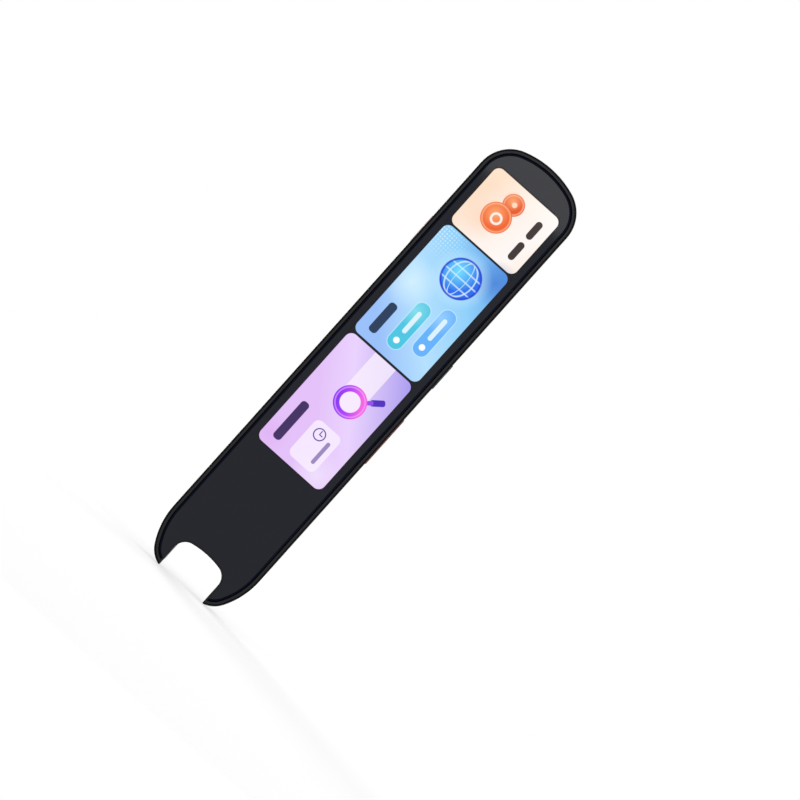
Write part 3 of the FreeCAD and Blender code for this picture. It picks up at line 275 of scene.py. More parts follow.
def plug(tree, socket, value):
    """Sets a socket to a plain value or links a field or a socket to it."""
    if isinstance(value, Field):
        tree.links.new(value.socket, socket)
    elif isinstance(value, bpy.types.NodeSocket):
        tree.links.new(value, socket)
    else:
        socket.default_value = value


def add_node(tree, kind, inputs=None, **settings):
    """A new node with its settings and inputs."""
    node = tree.nodes.new(kind)
    for name, value in settings.items():
        setattr(node, name, value)
    for key, value in (inputs or {}).items():
        plug(tree, node.inputs[key], value)
    return node


def math_field(tree, operation, *values, clamp=False):
    """The result of a Math node."""
    node = add_node(tree, "ShaderNodeMath", operation=operation, use_clamp=clamp)
    for socket, value in zip(node.inputs, values):
        plug(tree, socket, value)
    return Field(tree, node.outputs[0])


def vector_field(tree, operation, *values, output=0):
    """A result of a Vector Math node: 0 is its vector and 1 its number."""
    node = add_node(tree, "ShaderNodeVectorMath", operation=operation)
    for socket, value in zip(node.inputs, values):
        plug(tree, socket, value)
    return Field(tree, node.outputs[output])


def scaled(tree, vector, factor):
    """A vector times a plain number."""
    node = add_node(tree, "ShaderNodeVectorMath", {0: vector, "Scale": factor}, operation="SCALE")
    return Field(tree, node.outputs[0])


def held(tree, field, slope, start):
    """A straight rise or fall of a field, held between 0 and 1."""
    node = add_node(tree, "ShaderNodeMath", operation="MULTIPLY_ADD", use_clamp=True)
    for socket, value in zip(node.inputs, (field, slope, start)):
        plug(tree, socket, value)
    return Field(tree, node.outputs[0])


def mix_colours(tree, factor, first, second, blend="MIX"):
    """From the first colour to the second as the factor goes from 0 to 1."""
    node = add_node(tree, "ShaderNodeMix", data_type="RGBA", blend_type=blend)
    for key, value in ((0, factor), (6, first), (7, second)):
        plug(tree, node.inputs[key], value)
    return node.outputs[2]


def mix_shaders(tree, factor, first, second):
    """From the first shader to the second as the factor goes from 0 to 1."""
    node = add_node(tree, "ShaderNodeMixShader")
    plug(tree, node.inputs[0], factor)
    tree.links.new(first, node.inputs[1])
    tree.links.new(second, node.inputs[2])
    return node.outputs[0]


def ramp(tree, factor, stops):
    """A colour ramp from (place, colour) stops."""
    node = add_node(tree, "ShaderNodeValToRGB")
    plug(tree, node.inputs[0], factor)
    elements = node.color_ramp.elements
    elements[0].position, elements[0].color = stops[0]
    elements[1].position, elements[1].color = stops[-1]
    for place, shade in stops[1:-1]:
        elements.new(place).color = shade
    return node.outputs[0]


class Surface:
    """A material being built, with the piece's own place in millimetres."""

    def __init__(self, name):
        self.material = bpy.data.materials.new(name)
        self.material.use_nodes = True
        self.tree = self.material.node_tree
        self.tree.nodes.clear()
        self.output = add_node(self.tree, "ShaderNodeOutputMaterial")
        coordinates = add_node(self.tree, "ShaderNodeTexCoord")
        self.place = scaled(self.tree, coordinates.outputs["Object"], 1 / MM)
        split = add_node(self.tree, "ShaderNodeSeparateXYZ", {0: self.place})
        self.x, self.y, self.z = (Field(self.tree, output) for output in split.outputs)
        facing = add_node(self.tree, "ShaderNodeSeparateXYZ", {0: coordinates.outputs["Normal"]})
        self.facing_y = Field(self.tree, facing.outputs[1])

    def noise(self, size, detail=2.0):
        """Soft noise with features of about that size in millimetres."""
        inputs = {"Vector": self.place, "Scale": 1 / size, "Detail": detail}
        return Field(self.tree, add_node(self.tree, "ShaderNodeTexNoise", inputs).outputs[0])

    def flakes(self, size):
        """Cells of about that size in millimetres, each with its own number of 0 to 1."""
        inputs = {"Vector": self.place, "Scale": 1 / size}
        cells = add_node(self.tree, "ShaderNodeTexVoronoi", inputs)
        split = add_node(self.tree, "ShaderNodeSeparateColor", {0: cells.outputs["Color"]})
        return Field(self.tree, split.outputs[0])

    def between(self, field, low, high):
        """Maps a field of 0 to 1 to a range."""
        inputs = {"Value": field, "To Min": low, "To Max": high}
        return Field(self.tree, add_node(self.tree, "ShaderNodeMapRange", inputs).outputs[0])

    def toned(self, shade, tone):
        """A colour made lighter or darker by a field near 1."""
        grey = add_node(self.tree, "ShaderNodeCombineColor", {0: tone, 1: tone, 2: tone})
        return mix_colours(self.tree, 1.0, shade, grey.outputs[0], "MULTIPLY")

    def bump(self, height, depth, normal=None):
        """A bump whose full height is a depth in millimetres."""
        inputs = {"Height": height, "Distance": depth * MM, "Strength": 1.0}
        if normal is not None:
            inputs["Normal"] = normal
        return add_node(self.tree, "ShaderNodeBump", inputs).outputs[0]

    def principled(self, **inputs):
        """A Principled shader, with an underscore for each space in its sockets' names."""
        names = {key.replace("_", " "): value for key, value in inputs.items()}
        return add_node(self.tree, "ShaderNodeBsdfPrincipled", names).outputs[0]

    def finish(self, shader):
        """Ends the material with its shader."""
        self.tree.links.new(shader, self.output.inputs[0])
        return self.material


# Shapes drawn on a flat face. Each is a field of distances in millimetres, below zero inside.


class Drawing:
    """Draws flat shapes over a surface, seen along Y: x across the pen and z along it."""

    def __init__(self, surface):
        self.surface = surface
        self.tree = surface.tree
        flat = add_node(self.tree, "ShaderNodeCombineXYZ", {0: surface.x, 1: surface.z})
        self.point = Field(self.tree, flat.outputs[0])
        self.picture = colour(0, 0, 0)

    def disc(self, x, z, radius):
        away = vector_field(self.tree, "DISTANCE", self.point, (x, z, 0), output=1)
        return away - radius

    def ring(self, x, z, radius, width):
        return self.outline(self.disc(x, z, radius), width)

    def outline(self, distance, width):
        """A line of that width along a shape's edge."""
        return math_field(self.tree, "ABSOLUTE", distance) - width / 2

    def box(self, x, z, half_x, half_z, corner, turn=0.0):
        """A box with round corners, turned by some degrees."""
        point = self.point
        if turn:
            node = add_node(
                self.tree,
                "ShaderNodeVectorRotate",
                {"Vector": point, "Center": (x, z, 0), "Angle": math.radians(turn)},
                rotation_type="Z_AXIS",
            )
            point = Field(self.tree, node.outputs[0])
        away = vector_field(self.tree, "SUBTRACT", point, (x, z, 0))
        away = vector_field(self.tree, "ABSOLUTE", away)
        away = vector_field(self.tree, "SUBTRACT", away, (half_x - corner, half_z - corner, 0))
        away = vector_field(self.tree, "MAXIMUM", away, (0, 0, 0))
        return vector_field(self.tree, "LENGTH", away, output=1) - corner

    def cover(self, distance, soft=0.06):
        """1 inside a shape and 0 outside, with an edge that soft."""
        return held(self.tree, distance, -1 / soft, 0.5)

    def slope(self, across, along, start):
        """0 to 1 across a card."""
        return held(self.tree, self.surface.x * across + self.surface.z * along, 1.0, start)

    def paint(self, cover, shade, opacity=1.0):
        """Lays a colour over the picture."""
        if opacity != 1.0:
            cover = cover * opacity
        self.picture = mix_colours(self.tree, cover, self.picture, shade)

    def glow(self, x, z, radius, shade, opacity=1.0):
        """A soft round light that fades out at its radius."""
        self.paint(self.cover(self.disc(x, z, radius * 0.5), radius), shade, opacity)


def repaint(node_names, material):
    """Gives CAD nodes a material."""
    for name in node_names:
        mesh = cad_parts[name].data
        mesh.materials.clear()
        mesh.materials.append(material)


# Finishes.


def recess_lines(s):
    """The cut at the edge of the speaker recess, with its real polish and a painted highlight, and
    a painted shade ring outside it along the bezel's edge.
    """
    low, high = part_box("speaker_panel")
    middle = (low + high) / 2 / MM
    half = (high - low) / 2 / MM
    drawing = Drawing(s)
    recess = drawing.box(middle.x, middle.z, half.x, half.z, RECESS_CORNER)
    behind = math_field(s.tree, "GREATER_THAN", s.y, low.y / MM)
    polish_and_highlight = drawing.cover(drawing.outline(recess - CUT_OFFSET, CUT_WIDTH), 0.1) * behind
    painted_shade_ring = drawing.cover(drawing.outline(recess - SHADE_RING_OFFSET, SHADE_RING_WIDTH), 0.9) * behind
    return polish_and_highlight, painted_shade_ring


def rolled_back(s):
    """A normal that rolls the back away from its middle and down again at its shoulders."""
    away = math_field(s.tree, "ABSOLUTE", s.x)
    first, second = ROLL_TURN - ROLL_START, ROLL_END - ROLL_TURN
    rise = math_field(s.tree, "MULTIPLY", away - ROLL_START, 1 / first, clamp=True)
    fall = math_field(s.tree, "MULTIPLY", away - ROLL_TURN, 1 / second, clamp=True)
    return s.bump(rise * rise * (-first / 2) + fall * (fall - 2.0) * (second / 2), ROLL_DEPTH)


def lacquered_shell(settings):
    """Satin metallic lacquer under a clear coat that fades where it is seen edge on."""
    s = Surface("satin_blue_lacquer")
    polish_and_highlight, painted_shade_ring = recess_lines(s)
    sparkle = s.between(s.flakes(0.16), 0.86, 1.14)
    cloud = s.between(s.noise(14.0), 0.95, 1.05)
    lacquer = s.toned(settings.shell_colour, sparkle * cloud)
    # Painted shade: the ring outside the recess is darkened where the bezel's edge falls into
    # shade.
    shade = mix_colours(s.tree, painted_shade_ring * 0.5, lacquer, colour(22, 28, 44))
    # Painted highlight: the cut at the recess is coloured a lighter blue for the light it catches;
    # the lower roughness below is its real polish.
    shade = mix_colours(s.tree, polish_and_highlight, shade, colour(98, 122, 158))
    rough = s.between(s.noise(0.5), 0.36, 0.42) - polish_and_highlight * 0.16
    rolled = rolled_back(s)
    edge_on = add_node(s.tree, "ShaderNodeLayerWeight", {"Blend": 0.5, "Normal": rolled})
    coat = 1.0 - Field(s.tree, edge_on.outputs["Facing"])
    shader = s.principled(
        Base_Color=shade,
        Metallic=0.85,
        Roughness=rough,
        Specular_Tint=settings.shell_edge_colour,
        Coat_Weight=coat,
        Coat_Roughness=0.23,
        Coat_Normal=rolled,
        Normal=s.bump(s.noise(0.09, 1.0), 0.0012, rolled),
    )
    return s.finish(shader)


def moulded(name, shade, roughness=0.45, grain=0.12, depth=0.003, metallic=0.0, specular=0.5):
    """Moulded plastic, coat or metal with a fine grain and faint wear in its gloss."""
    s = Surface(name)
    cloud = s.between(s.noise(6.0, 3.0), 0.88, 1.1)
    shader = s.principled(
        Base_Color=s.toned(shade, cloud),
        Metallic=metallic,
        Roughness=s.between(s.noise(2.0, 3.0), roughness * 0.85, min(1.0, roughness * 1.15)),
        Specular_IOR_Level=specular,
        Normal=s.bump(s.noise(grain, 1.0), depth),
    )
    return s.finish(shader)


def clear_gloss(s, ior):
    """What is behind shows through, under a reflection, and the far face adds nothing."""
    clear = add_node(s.tree, "ShaderNodeBsdfTransparent").outputs[0]
    gloss = add_node(s.tree, "ShaderNodeBsdfGlossy", {"Roughness": 0.03}).outputs[0]
    fresnel = add_node(s.tree, "ShaderNodeFresnel", {"IOR": ior})
    geometry = add_node(s.tree, "ShaderNodeNewGeometry")
    front = 1.0 - Field(s.tree, geometry.outputs["Backfacing"])
    return mix_shaders(s.tree, Field(s.tree, fresnel.outputs[0]) * front, clear, gloss)


def rim_finish(settings):
    """Black plastic with a painted highlight line on its flat top and a painted sheen on its side;
    both are glossier than the rest.
    """
    s = Surface("rim_plastic")
    flat = math_field(s.tree, "LESS_THAN", s.facing_y, RIM_TOP)
    side = math_field(s.tree, "GREATER_THAN", s.facing_y, RIM_SIDE)
    black = mix_colours(s.tree, s.noise(3.0), settings.rim_colour, colour(2, 2, 3))
    # Painted highlight: the flat top is coloured grey for the thin line of light that it reflects.
    shade = mix_colours(s.tree, flat, black, colour(20, 20, 24))
    # Painted sheen: the side faces are coloured lighter for the light that they catch.
    shade = mix_colours(s.tree, side, shade, colour(22, 22, 25))
    shader = s.principled(
        Base_Color=shade,
        Roughness=s.between(s.noise(1.5), 0.3, 0.36),
        Specular_IOR_Level=flat * 0.2 + side * 0.3 + 0.06,
        Normal=s.bump(s.noise(0.12, 1.0), 0.001),
    )
    return s.finish(shader)


def cover_glass_finish(screen):
    """Black print round a clear window over the cards.

    In the window the lit film behind the glass carries the gloss.
    The domed edge is duller than the flat.
    """
    s = Surface("printed_glass")
    drawing = Drawing(s)
    cards = card_shape(drawing, screen, CARD_ENDS[0][0], CARD_ENDS[-1][1])
    window = drawing.cover(cards - WINDOW_MARGIN, 0.05)
    print_shade = mix_colours(s.tree, s.noise(20.0), colour(3, 7, 24), colour(5, 9, 28))
    domed = math_field(s.tree, "GREATER_THAN", s.facing_y, GLASS_FLAT)
    black = s.principled(
        Base_Color=print_shade,
        Roughness=0.04,
        Specular_IOR_Level=GLASS_GLOSS - domed * (GLASS_GLOSS * DOME_DULLING),
    )
    clear = add_node(s.tree, "ShaderNodeBsdfTransparent").outputs[0]
    return s.finish(mix_shaders(s.tree, window, black, clear))


def smoked_window_finish():
    """Dark see-through pane over the scanning camera."""
    s = Surface("smoked_window")
    tint = mix_colours(s.tree, s.noise(3.0), colour(10, 10, 14), colour(20, 18, 26))
    smoke = s.principled(Base_Color=tint, Roughness=0.05, IOR=1.49)
    return s.finish(mix_shaders(s.tree, 0.35, smoke, clear_gloss(s, 1.49)))


def woven_mesh_finish():
    """Fine black cloth over the speaker, woven at a third of a millimetre."""
    s = Surface("speaker_cloth")
    turns = 2 * math.pi / CLOTH_PITCH
    warp = math_field(s.tree, "SINE", s.x * turns)
    weft = math_field(s.tree, "SINE", s.z * turns)
    weave = warp * weft
    shade = mix_colours(s.tree, s.between(weave, 0.2, 0.8), colour(8, 8, 9), colour(38, 36, 36))
    return s.finish(s.principled(Base_Color=shade, Roughness=0.8, Normal=s.bump(weave, 0.04)))


# The screen's picture: three cards of plain symbols and bars.


def card_shape(drawing, settings, high, low):
    """A card between two levels along the pen."""
    half, corner = settings.card_half_width / MM, settings.card_corner / MM
    return drawing.box(0, (high + low) / 2, half, (high - low) / 2, corner)


def card(drawing, settings, high, low):
    """The cover of a card between two levels along the pen."""
    return drawing.cover(card_shape(drawing, settings, high, low), 0.12)


def draw_chat_card(d, settings):
    """A peach card with two overlapping orange bubbles."""
    cover = card(d, settings, *CARD_ENDS[0])
    base = ramp(
        d.tree,
        d.slope(0.036, -0.012, 1.13),
        [
            (0.0, colour(251, 222, 196)),
            (0.4, colour(252, 240, 230)),
            (0.75, colour(252, 246, 243)),
            (1.0, colour(252, 238, 224)),
        ],
    )
    d.paint(cover, base)
    d.glow(-5.2, 56.0, 6.5, colour(255, 196, 152), 0.45)
    for x, z, radius, deep in (
        (-1.2, 64.9, 3.3, colour(232, 84, 16)),
        (-2.6, 58.9, 4.6, colour(240, 98, 30)),
    ):
        disc = d.disc(x, z, radius)
        light = d.cover(d.disc(x - 0.9, z + 0.7, radius * 0.45), radius * 0.9)
        d.paint(d.cover(disc, 0.12), deep)
        d.paint(light, colour(255, 172, 112), 0.9)
        d.paint(d.cover(d.outline(disc + 0.5, 0.3), 0.5), colour(255, 206, 160), 0.7)
    d.paint(d.cover(d.ring(-2.4, 58.7, 1.5, 0.7), 0.2), colour(255, 238, 226))
    d.paint(d.cover(d.disc(-1.0, 65.1, 0.8), 0.3), colour(255, 226, 200), 0.85)
    for z in (63.4, 55.6):
        d.paint(d.cover(d.box(8.1, z, 1.05, 3.1, 1.05)), colour(58, 44, 38))


def draw_globe(d, x, z, radius):
    """A glossy blue globe with its meridians."""
    disc = d.disc(x, z, radius)
    globe = d.cover(disc, 0.12)
    d.glow(x, z, radius * 1.5, colour(214, 244, 255), 0.8)
    d.paint(globe, colour(30, 104, 236))
    light = d.cover(d.disc(x - 1.9, z + 1.4, radius * 0.5), radius)
    d.paint(light * globe, colour(112, 226, 255), 0.95)
    for width in (0.32, 0.72):
        across = (d.surface.x - x) * (1 / width)
        flat = add_node(d.tree, "ShaderNodeCombineXYZ", {0: across, 1: d.surface.z - z})
        away = vector_field(d.tree, "LENGTH", flat.outputs[0], output=1)
        meridian = d.outline(away - radius * 0.93, 0.55)
        d.paint(d.cover(meridian, 0.3) * globe, colour(214, 246, 255), 0.75)
    for level in (-0.42, 0.0, 0.42):
        band = math_field(d.tree, "ABSOLUTE", d.surface.z - (z + radius * level)) - 0.2
        d.paint(d.cover(band, 0.25) * globe, colour(214, 246, 255), 0.7)
    d.paint(d.cover(d.outline(disc + 0.25, 0.6), 0.3), colour(20, 62, 210), 0.9)


def draw_study_card(d, settings):
    """A sky blue card with a halftone corner, a globe and two pills."""
    cover = card(d, settings, *CARD_ENDS[1])
    base = ramp(
        d.tree,
        d.slope(0.016, 0.018, -0.12),
        [
            (0.0, colour(150, 190, 248)),
            (0.3, colour(178, 222, 252)),
            (0.62, colour(140, 206, 248)),
            (1.0, colour(60, 134, 224)),
        ],
    )
    d.paint(cover, base)
    d.glow(-8.5, 29.0, 8.0, colour(214, 242, 255), 0.8)
    d.glow(9.8, 44.5, 7.0, colour(50, 112, 206), 0.7)
    grid = vector_field(d.tree, "FRACTION", scaled(d.tree, d.point, 1 / HALFTONE_PITCH))
    dot = vector_field(d.tree, "DISTANCE", grid, (0.5, 0.5, 0), output=1) - 0.26
    fade = d.cover(d.disc(-10.5, 46.0, 4.5), 8.0)
    d.paint(d.cover(dot, 0.16) * fade * cover, colour(226, 246, 255), 0.75)
    draw_globe(d, 1.6, 39.0, 6.1)
    for x, z, half, shade, light in (
        (-0.5, 19.0, 8.2, colour(70, 196, 224), colour(150, 232, 240)),
        (6.4, 22.3, 8.2, colour(96, 176, 250), colour(166, 218, 255)),
    ):
        pill = d.cover(d.box(x, z, 2.55, half, 2.4), 0.1)
        d.paint(pill, shade)
        d.paint(pill * d.cover(d.disc(x - 1.6, z + 4.5, 1.5), 7.0), light, 0.9)
        edge = d.outline(d.box(x, z, 2.5, half - 0.05, 2.35), 0.22)
        d.paint(d.cover(edge, 0.12), colour(216, 244, 255), 0.7)
        d.paint(d.cover(d.disc(x, z - 5.4, 0.95), 0.12), colour(250, 254, 255))
        d.paint(d.cover(d.box(x, z + 1.3, 0.7, 3.9, 0.7), 0.1), colour(228, 246, 255), 0.9)
    d.paint(d.cover(d.box(-7.6, 15.8, 1.35, 5.3, 1.1), 0.1), colour(28, 52, 84))


def draw_lookup_card(d, settings):
    """A lilac card with a magnifier and a clock on a smaller card."""
    cover = card(d, settings, *CARD_ENDS[2])
    base = ramp(
        d.tree,
        d.slope(0.028, 0.021, 0.48),
        [
            (0.0, colour(226, 190, 246)),
            (0.35, colour(232, 208, 252)),
            (0.62, colour(206, 186, 244)),
            (1.0, colour(158, 146, 236)),
        ],
    )
    d.paint(cover, base)
    d.glow(8.0, -31.0, 8.0, colour(240, 226, 252), 0.8)
    d.glow(-10.0, -30.5, 6.0, colour(220, 168, 238), 0.6)
    d.paint(d.cover(d.box(1.3, -2.0, 3.9, 9.2, 0.3), 0.12) * cover, colour(250, 240, 252), 0.72)
    ring = d.ring(1.5, -8.6, 4.0, 1.9)
    handle = d.box(7.7, -3.6, 0.95, 2.2, 0.7, turn=51.0)
    d.paint(d.cover(handle, 0.12), colour(74, 34, 190))
    d.paint(d.cover(d.box(6.0, -5.0, 0.65, 0.95, 0.3, turn=51.0), 0.12), colour(150, 70, 232))
    tint = ramp(
        d.tree,
        d.slope(0.09, 0.05, 0.9),
        [(0.15, colour(124, 34, 240)), (0.55, colour(176, 60, 246)), (0.95, colour(240, 96, 226))],
    )
    d.paint(d.cover(d.disc(1.5, -8.6, 3.4), 0.4), colour(246, 232, 255), 0.85)
    d.paint(d.cover(ring, 0.12), tint)
    d.paint(d.cover(d.outline(d.disc(1.5, -8.6, 4.35), 0.3), 0.35), colour(250, 170, 255), 0.7)
    d.paint(d.cover(d.box(2.4, -24.7, 4.8, 6.7, 1.9), 0.12), colour(248, 238, 255), 0.78)
    clock = colour(96, 66, 158)
    d.paint(d.cover(d.ring(1.2, -21.4, 1.75, 0.36), 0.1), clock)
    d.paint(d.cover(d.box(1.2, -20.8, 0.16, 0.75, 0.1), 0.08), clock)
    d.paint(d.cover(d.box(1.7, -21.4, 0.6, 0.16, 0.1), 0.08), clock)
    d.paint(d.cover(d.box(5.0, -25.2, 0.6, 3.9, 0.6), 0.1), clock, 0.75)
    d.paint(d.cover(d.box(-7.6, -23.8, 1.35, 6.9, 1.1), 0.1), colour(58, 34, 92))


def screen_finish(settings):
    """The three cards, lit from behind and black between them, under the gloss of the glass."""
    s = Surface("lit_screen")
    d = Drawing(s)
    for draw in (draw_chat_card, draw_study_card, draw_lookup_card):
        draw(d, settings)
    covers = [card(d, settings, *ends) for ends in CARD_ENDS]
    lit = covers[0] + covers[1] + covers[2]
    picture = mix_colours(s.tree, lit, colour(0, 0, 0), d.picture)
    shader = s.principled(
        Base_Color=colour(4, 8, 26),
        Roughness=0.04,
        Specular_IOR_Level=GLASS_GLOSS,
        Emission_Color=picture,
        Emission_Strength=settings.brightness,
    )
    return s.finish(shader)


# Pieces.


def new_piece(name, mesh_builder, material):
    """A finished piece from a bmesh, riding on the housing."""
    bm = bmesh.new()
    mesh_builder(bm)
    bmesh.ops.recalc_face_normals(bm, faces=bm.faces)
    mesh = bpy.data.meshes.new(name)
    bm.to_mesh(mesh)
    bm.free()
    mesh.materials.append(material)
    piece = bpy.data.objects.new(name, mesh)
    bpy.context.scene.collection.objects.link(piece)
    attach(piece, "housing")
    return piece


def build_screen_film(bm):
    """The lit face of the screen: a thin film bonded into the back of the glass."""
    low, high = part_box("display_panel")
    made = bmesh.ops.create_cube(bm, size=1.0)["verts"]
    thickness = FILM_THICKNESS * MM
    bmesh.ops.scale(bm, vec=(high.x - low.x, thickness, high.z - low.z), verts=made)
    place = Vector(((low.x + high.x) / 2, low.y - FILM_DEPTH * MM, (low.z + high.z) / 2))
    bmesh.ops.translate(bm, vec=place, verts=made)
    bmesh.ops.bevel(
        bm,
        geom=[edge for edge in bm.edges if edge.calc_length() < 2 * thickness],
        offset=FILM_CORNER * MM,
        segments=6,
        profile=0.5,
        affect="EDGES",
        material=-1,
    )


def build_port_contacts(bm):
    """Gold strips on both faces of the charging tongue."""
    low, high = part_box("charge_port_tongue")
    inset = CONTACT_INSET * MM
    pitch = (high.x - low.x - 2 * inset) / (CONTACT_COUNT - 1)
    start = low.x + inset
    length = (high.z - low.z) * CONTACT_SHARE
    size = (CONTACT_WIDTH * MM, CONTACT_THICKNESS * MM, length)
    middle_z = high.z - inset - length / 2
    for face_y in (low.y, high.y):
        for number in range(CONTACT_COUNT):
            made = bmesh.ops.create_cube(bm, size=1.0)["verts"]
            bmesh.ops.scale(bm, vec=size, verts=made)
            place = Vector((start + number * pitch, face_y, middle_z))
            bmesh.ops.translate(bm, vec=place, verts=made)
    bmesh.ops.bevel(
        bm,
        geom=list(bm.edges),
        offset=CONTACT_BEVEL * MM,
        segments=1,
        profile=0.5,
        affect="EDGES",
        material=-1,
    )


class DressOperator:
    """Shared settings of this add-on's operators."""

    bl_options = {"REGISTER", "UNDO"}


class TRANSLATOR_OT_shell(DressOperator, bpy.types.Operator):
    """Lacquer the back shell and colour the key that matches it"""

    bl_idname = "translator.shell"
    bl_label = "Dress the shell"

    def execute(self, context):
        settings = context.scene.translator_body
        repaint(["rear_shell", "mode_key"], lacquered_shell(settings))
        return {"FINISHED"}


class TRANSLATOR_OT_front(DressOperator, bpy.types.Operator):
    """Finish the rim, the printed glass and its bond"""

    bl_idname = "translator.front"
    bl_label = "Dress the front"

    def execute(self, context):
        settings = context.scene.translator_body
        repaint(["front_frame"], rim_finish(settings))
        repaint(["cover_glass"], cover_glass_finish(context.scene.translator_screen))
        repaint(["glass_adhesive"], moulded("bond", colour(10, 10, 10), 0.7))
        return {"FINISHED"}


class TRANSLATOR_OT_screen(DressOperator, bpy.types.Operator):
    """Light the screen with its three cards"""

    bl_idname = "translator.screen"
    bl_label = "Light the screen"

    def execute(self, context):
        repaint(["display_panel"], moulded("panel_black", colour(6, 6, 9), 0.3))
        picture = screen_finish(context.scene.translator_screen)
        film = new_piece("screen_film", build_screen_film, picture)
        return {"FINISHED"}


class TRANSLATOR_OT_speaker(DressOperator, bpy.types.Operator):
    """Finish the perforated panel and its cloth"""

    bl_idname = "translator.speaker"
    bl_label = "Dress the speaker"

    def execute(self, context):
        settings = context.scene.translator_body
        panel = moulded("grille_coat", settings.grille_colour, 0.5, 0.1, 0.004, specular=0.16)
        repaint(["speaker_panel"], panel)
        repaint(["speaker_mesh"], woven_mesh_finish())
        return {"FINISHED"}


class TRANSLATOR_OT_tip(DressOperator, bpy.types.Operator):
    """Finish the nose and its smoked window"""

    bl_idname = "translator.tip"
    bl_label = "Dress the tip"

    def execute(self, context):
        settings = context.scene.translator_body
        repaint(["tip_nose"], moulded("nose_plastic", settings.nose_colour, 0.36))
        repaint(["scan_window"], smoked_window_finish())
        return {"FINISHED"}


class TRANSLATOR_OT_keys(DressOperator, bpy.types.Operator):
    """Colour the red keys"""

    bl_idname = "translator.keys"
    bl_label = "Dress the keys"

    def execute(self, context):
        settings = context.scene.translator_body
        red = moulded("red_key", settings.key_colour, 0.28, depth=0.001, specular=0.4)
        repaint(["power_key", "talk_key"], red)
        return {"FINISHED"}


class TRANSLATOR_OT_port(DressOperator, bpy.types.Operator):
    """Add the gold strips in the charging port"""

    bl_idname = "translator.port"
    bl_label = "Fit the port contacts"

    def execute(self, context):
        gold = moulded("contact_gold", colour(214, 176, 96), 0.22, metallic=1.0)
        contacts = new_piece("port_contacts", build_port_contacts, gold)
        return {"FINISHED"}


# The finishes inside the housing: their nodes, screen colour, roughness and metalness.
INSIDE_FINISHES = {
    "steel_sheet": (
        ("display_tray", "shield_cans", "charge_port_shell"),
        (176, 178, 182),
        0.3,
        1.0,
    ),
    "small_steel": (("microphones", "key_switches", "board_screws"), (186, 186, 190), 0.26, 1.0),
    "foam": (("display_foam", "speaker_gasket", "battery_foam"), (44, 44, 46), 0.95, 0.0),
    "amber_ribbon": (
        ("display_flex", "camera_flex", "link_flex", "antenna", "power_key_flex", "side_key_flex"),
        (156, 92, 30),
        0.34,
        0.0,
    ),
    "solder_mask": (
        ("light_board", "mainboard", "battery_guard_board", "charge_board"),
        (18, 74, 58),
        0.4,
        0.0,
    ),
    "chip_resin": (("board_chips", "camera_module", "charge_port_tongue"), (24, 24, 26), 0.5, 0.0),
    "black_nylon": (("speaker_box", "camera_bracket", "battery_tape"), (20, 20, 22), 0.55, 0.0),
    "ivory_nylon": (("board_sockets",), (222, 216, 200), 0.5, 0.0),
    "cell_foil": (("battery",), (150, 154, 160), 0.35, 0.7),
    "red_wire": (("battery_leads",), (190, 24, 24), 0.4, 0.0),
    "coated_lens": (("camera_lens",), (22, 14, 46), 0.06, 0.0),
    "lamp_cap": (("scan_lights",), (246, 240, 210), 0.25, 0.0),
    "cone_paper": (("speaker_cone",), (34, 34, 36), 0.85, 0.0),
    "plated_magnet": (("speaker_magnet",), (120, 122, 128), 0.3, 1.0),
    "gold_spring": (("speaker_contacts",), (210, 172, 92), 0.25, 1.0),
    "black_rubber": (("microphone_boots",), (16, 16, 17), 0.75, 0.0),
}


class TRANSLATOR_OT_inside(DressOperator, bpy.types.Operator):
    """Finish every piece inside the housing"""

    bl_idname = "translator.inside"
    bl_label = "Dress the inside"

    def execute(self, context):
        for name, (nodes, shade, roughness, metallic) in INSIDE_FINISHES.items():
            repaint(nodes, moulded(name, colour(*shade), roughness, metallic=metallic))
        return {"FINISHED"}


def add_soft_box(name, place, target, size, strength):
    """A rectangular lamp that faces a target."""
    light = bpy.data.lights.new(name, "AREA")
    light.shape = "RECTANGLE"
    light.size, light.size_y = size
    light.energy = strength * math.pi * size[0] * size[1]
    lamp = bpy.data.objects.new(name, light)
    lamp.visible_camera = False
    lamp.location = place
    lamp.rotation_euler = (Vector(target) - Vector(place)).to_track_quat("-Z", "Y").to_euler()
    bpy.context.scene.collection.objects.link(lamp)


def seen_as_background(tree):
    """1 for rays that see the background straight, in a reflection or through glass."""
    path = add_node(tree, "ShaderNodeLightPath")
    seen = path.outputs["Is Camera Ray"]
    for name in ("Is Glossy Ray", "Is Transmission Ray"):
        seen = math_field(tree, "MAXIMUM", seen, path.outputs[name])
    return seen


def build_world(strength):
    """White where it is seen, and a plain soft light on matt surfaces."""
    world = bpy.data.worlds.new("pale_studio")
    world.use_nodes = True
    tree = world.node_tree
    tree.nodes.clear()
    output = add_node(tree, "ShaderNodeOutputWorld")
    seen = add_node(tree, "ShaderNodeBackground", {"Color": (1, 1, 1, 1), "Strength": 1.0})
    light = add_node(tree, "ShaderNodeBackground", {"Color": (1, 1, 1, 1), "Strength": strength})
    mixed = mix_shaders(tree, seen_as_background(tree), light.outputs[0], seen.outputs[0])
    tree.links.new(mixed, output.inputs[0])
    bpy.context.scene.world = world


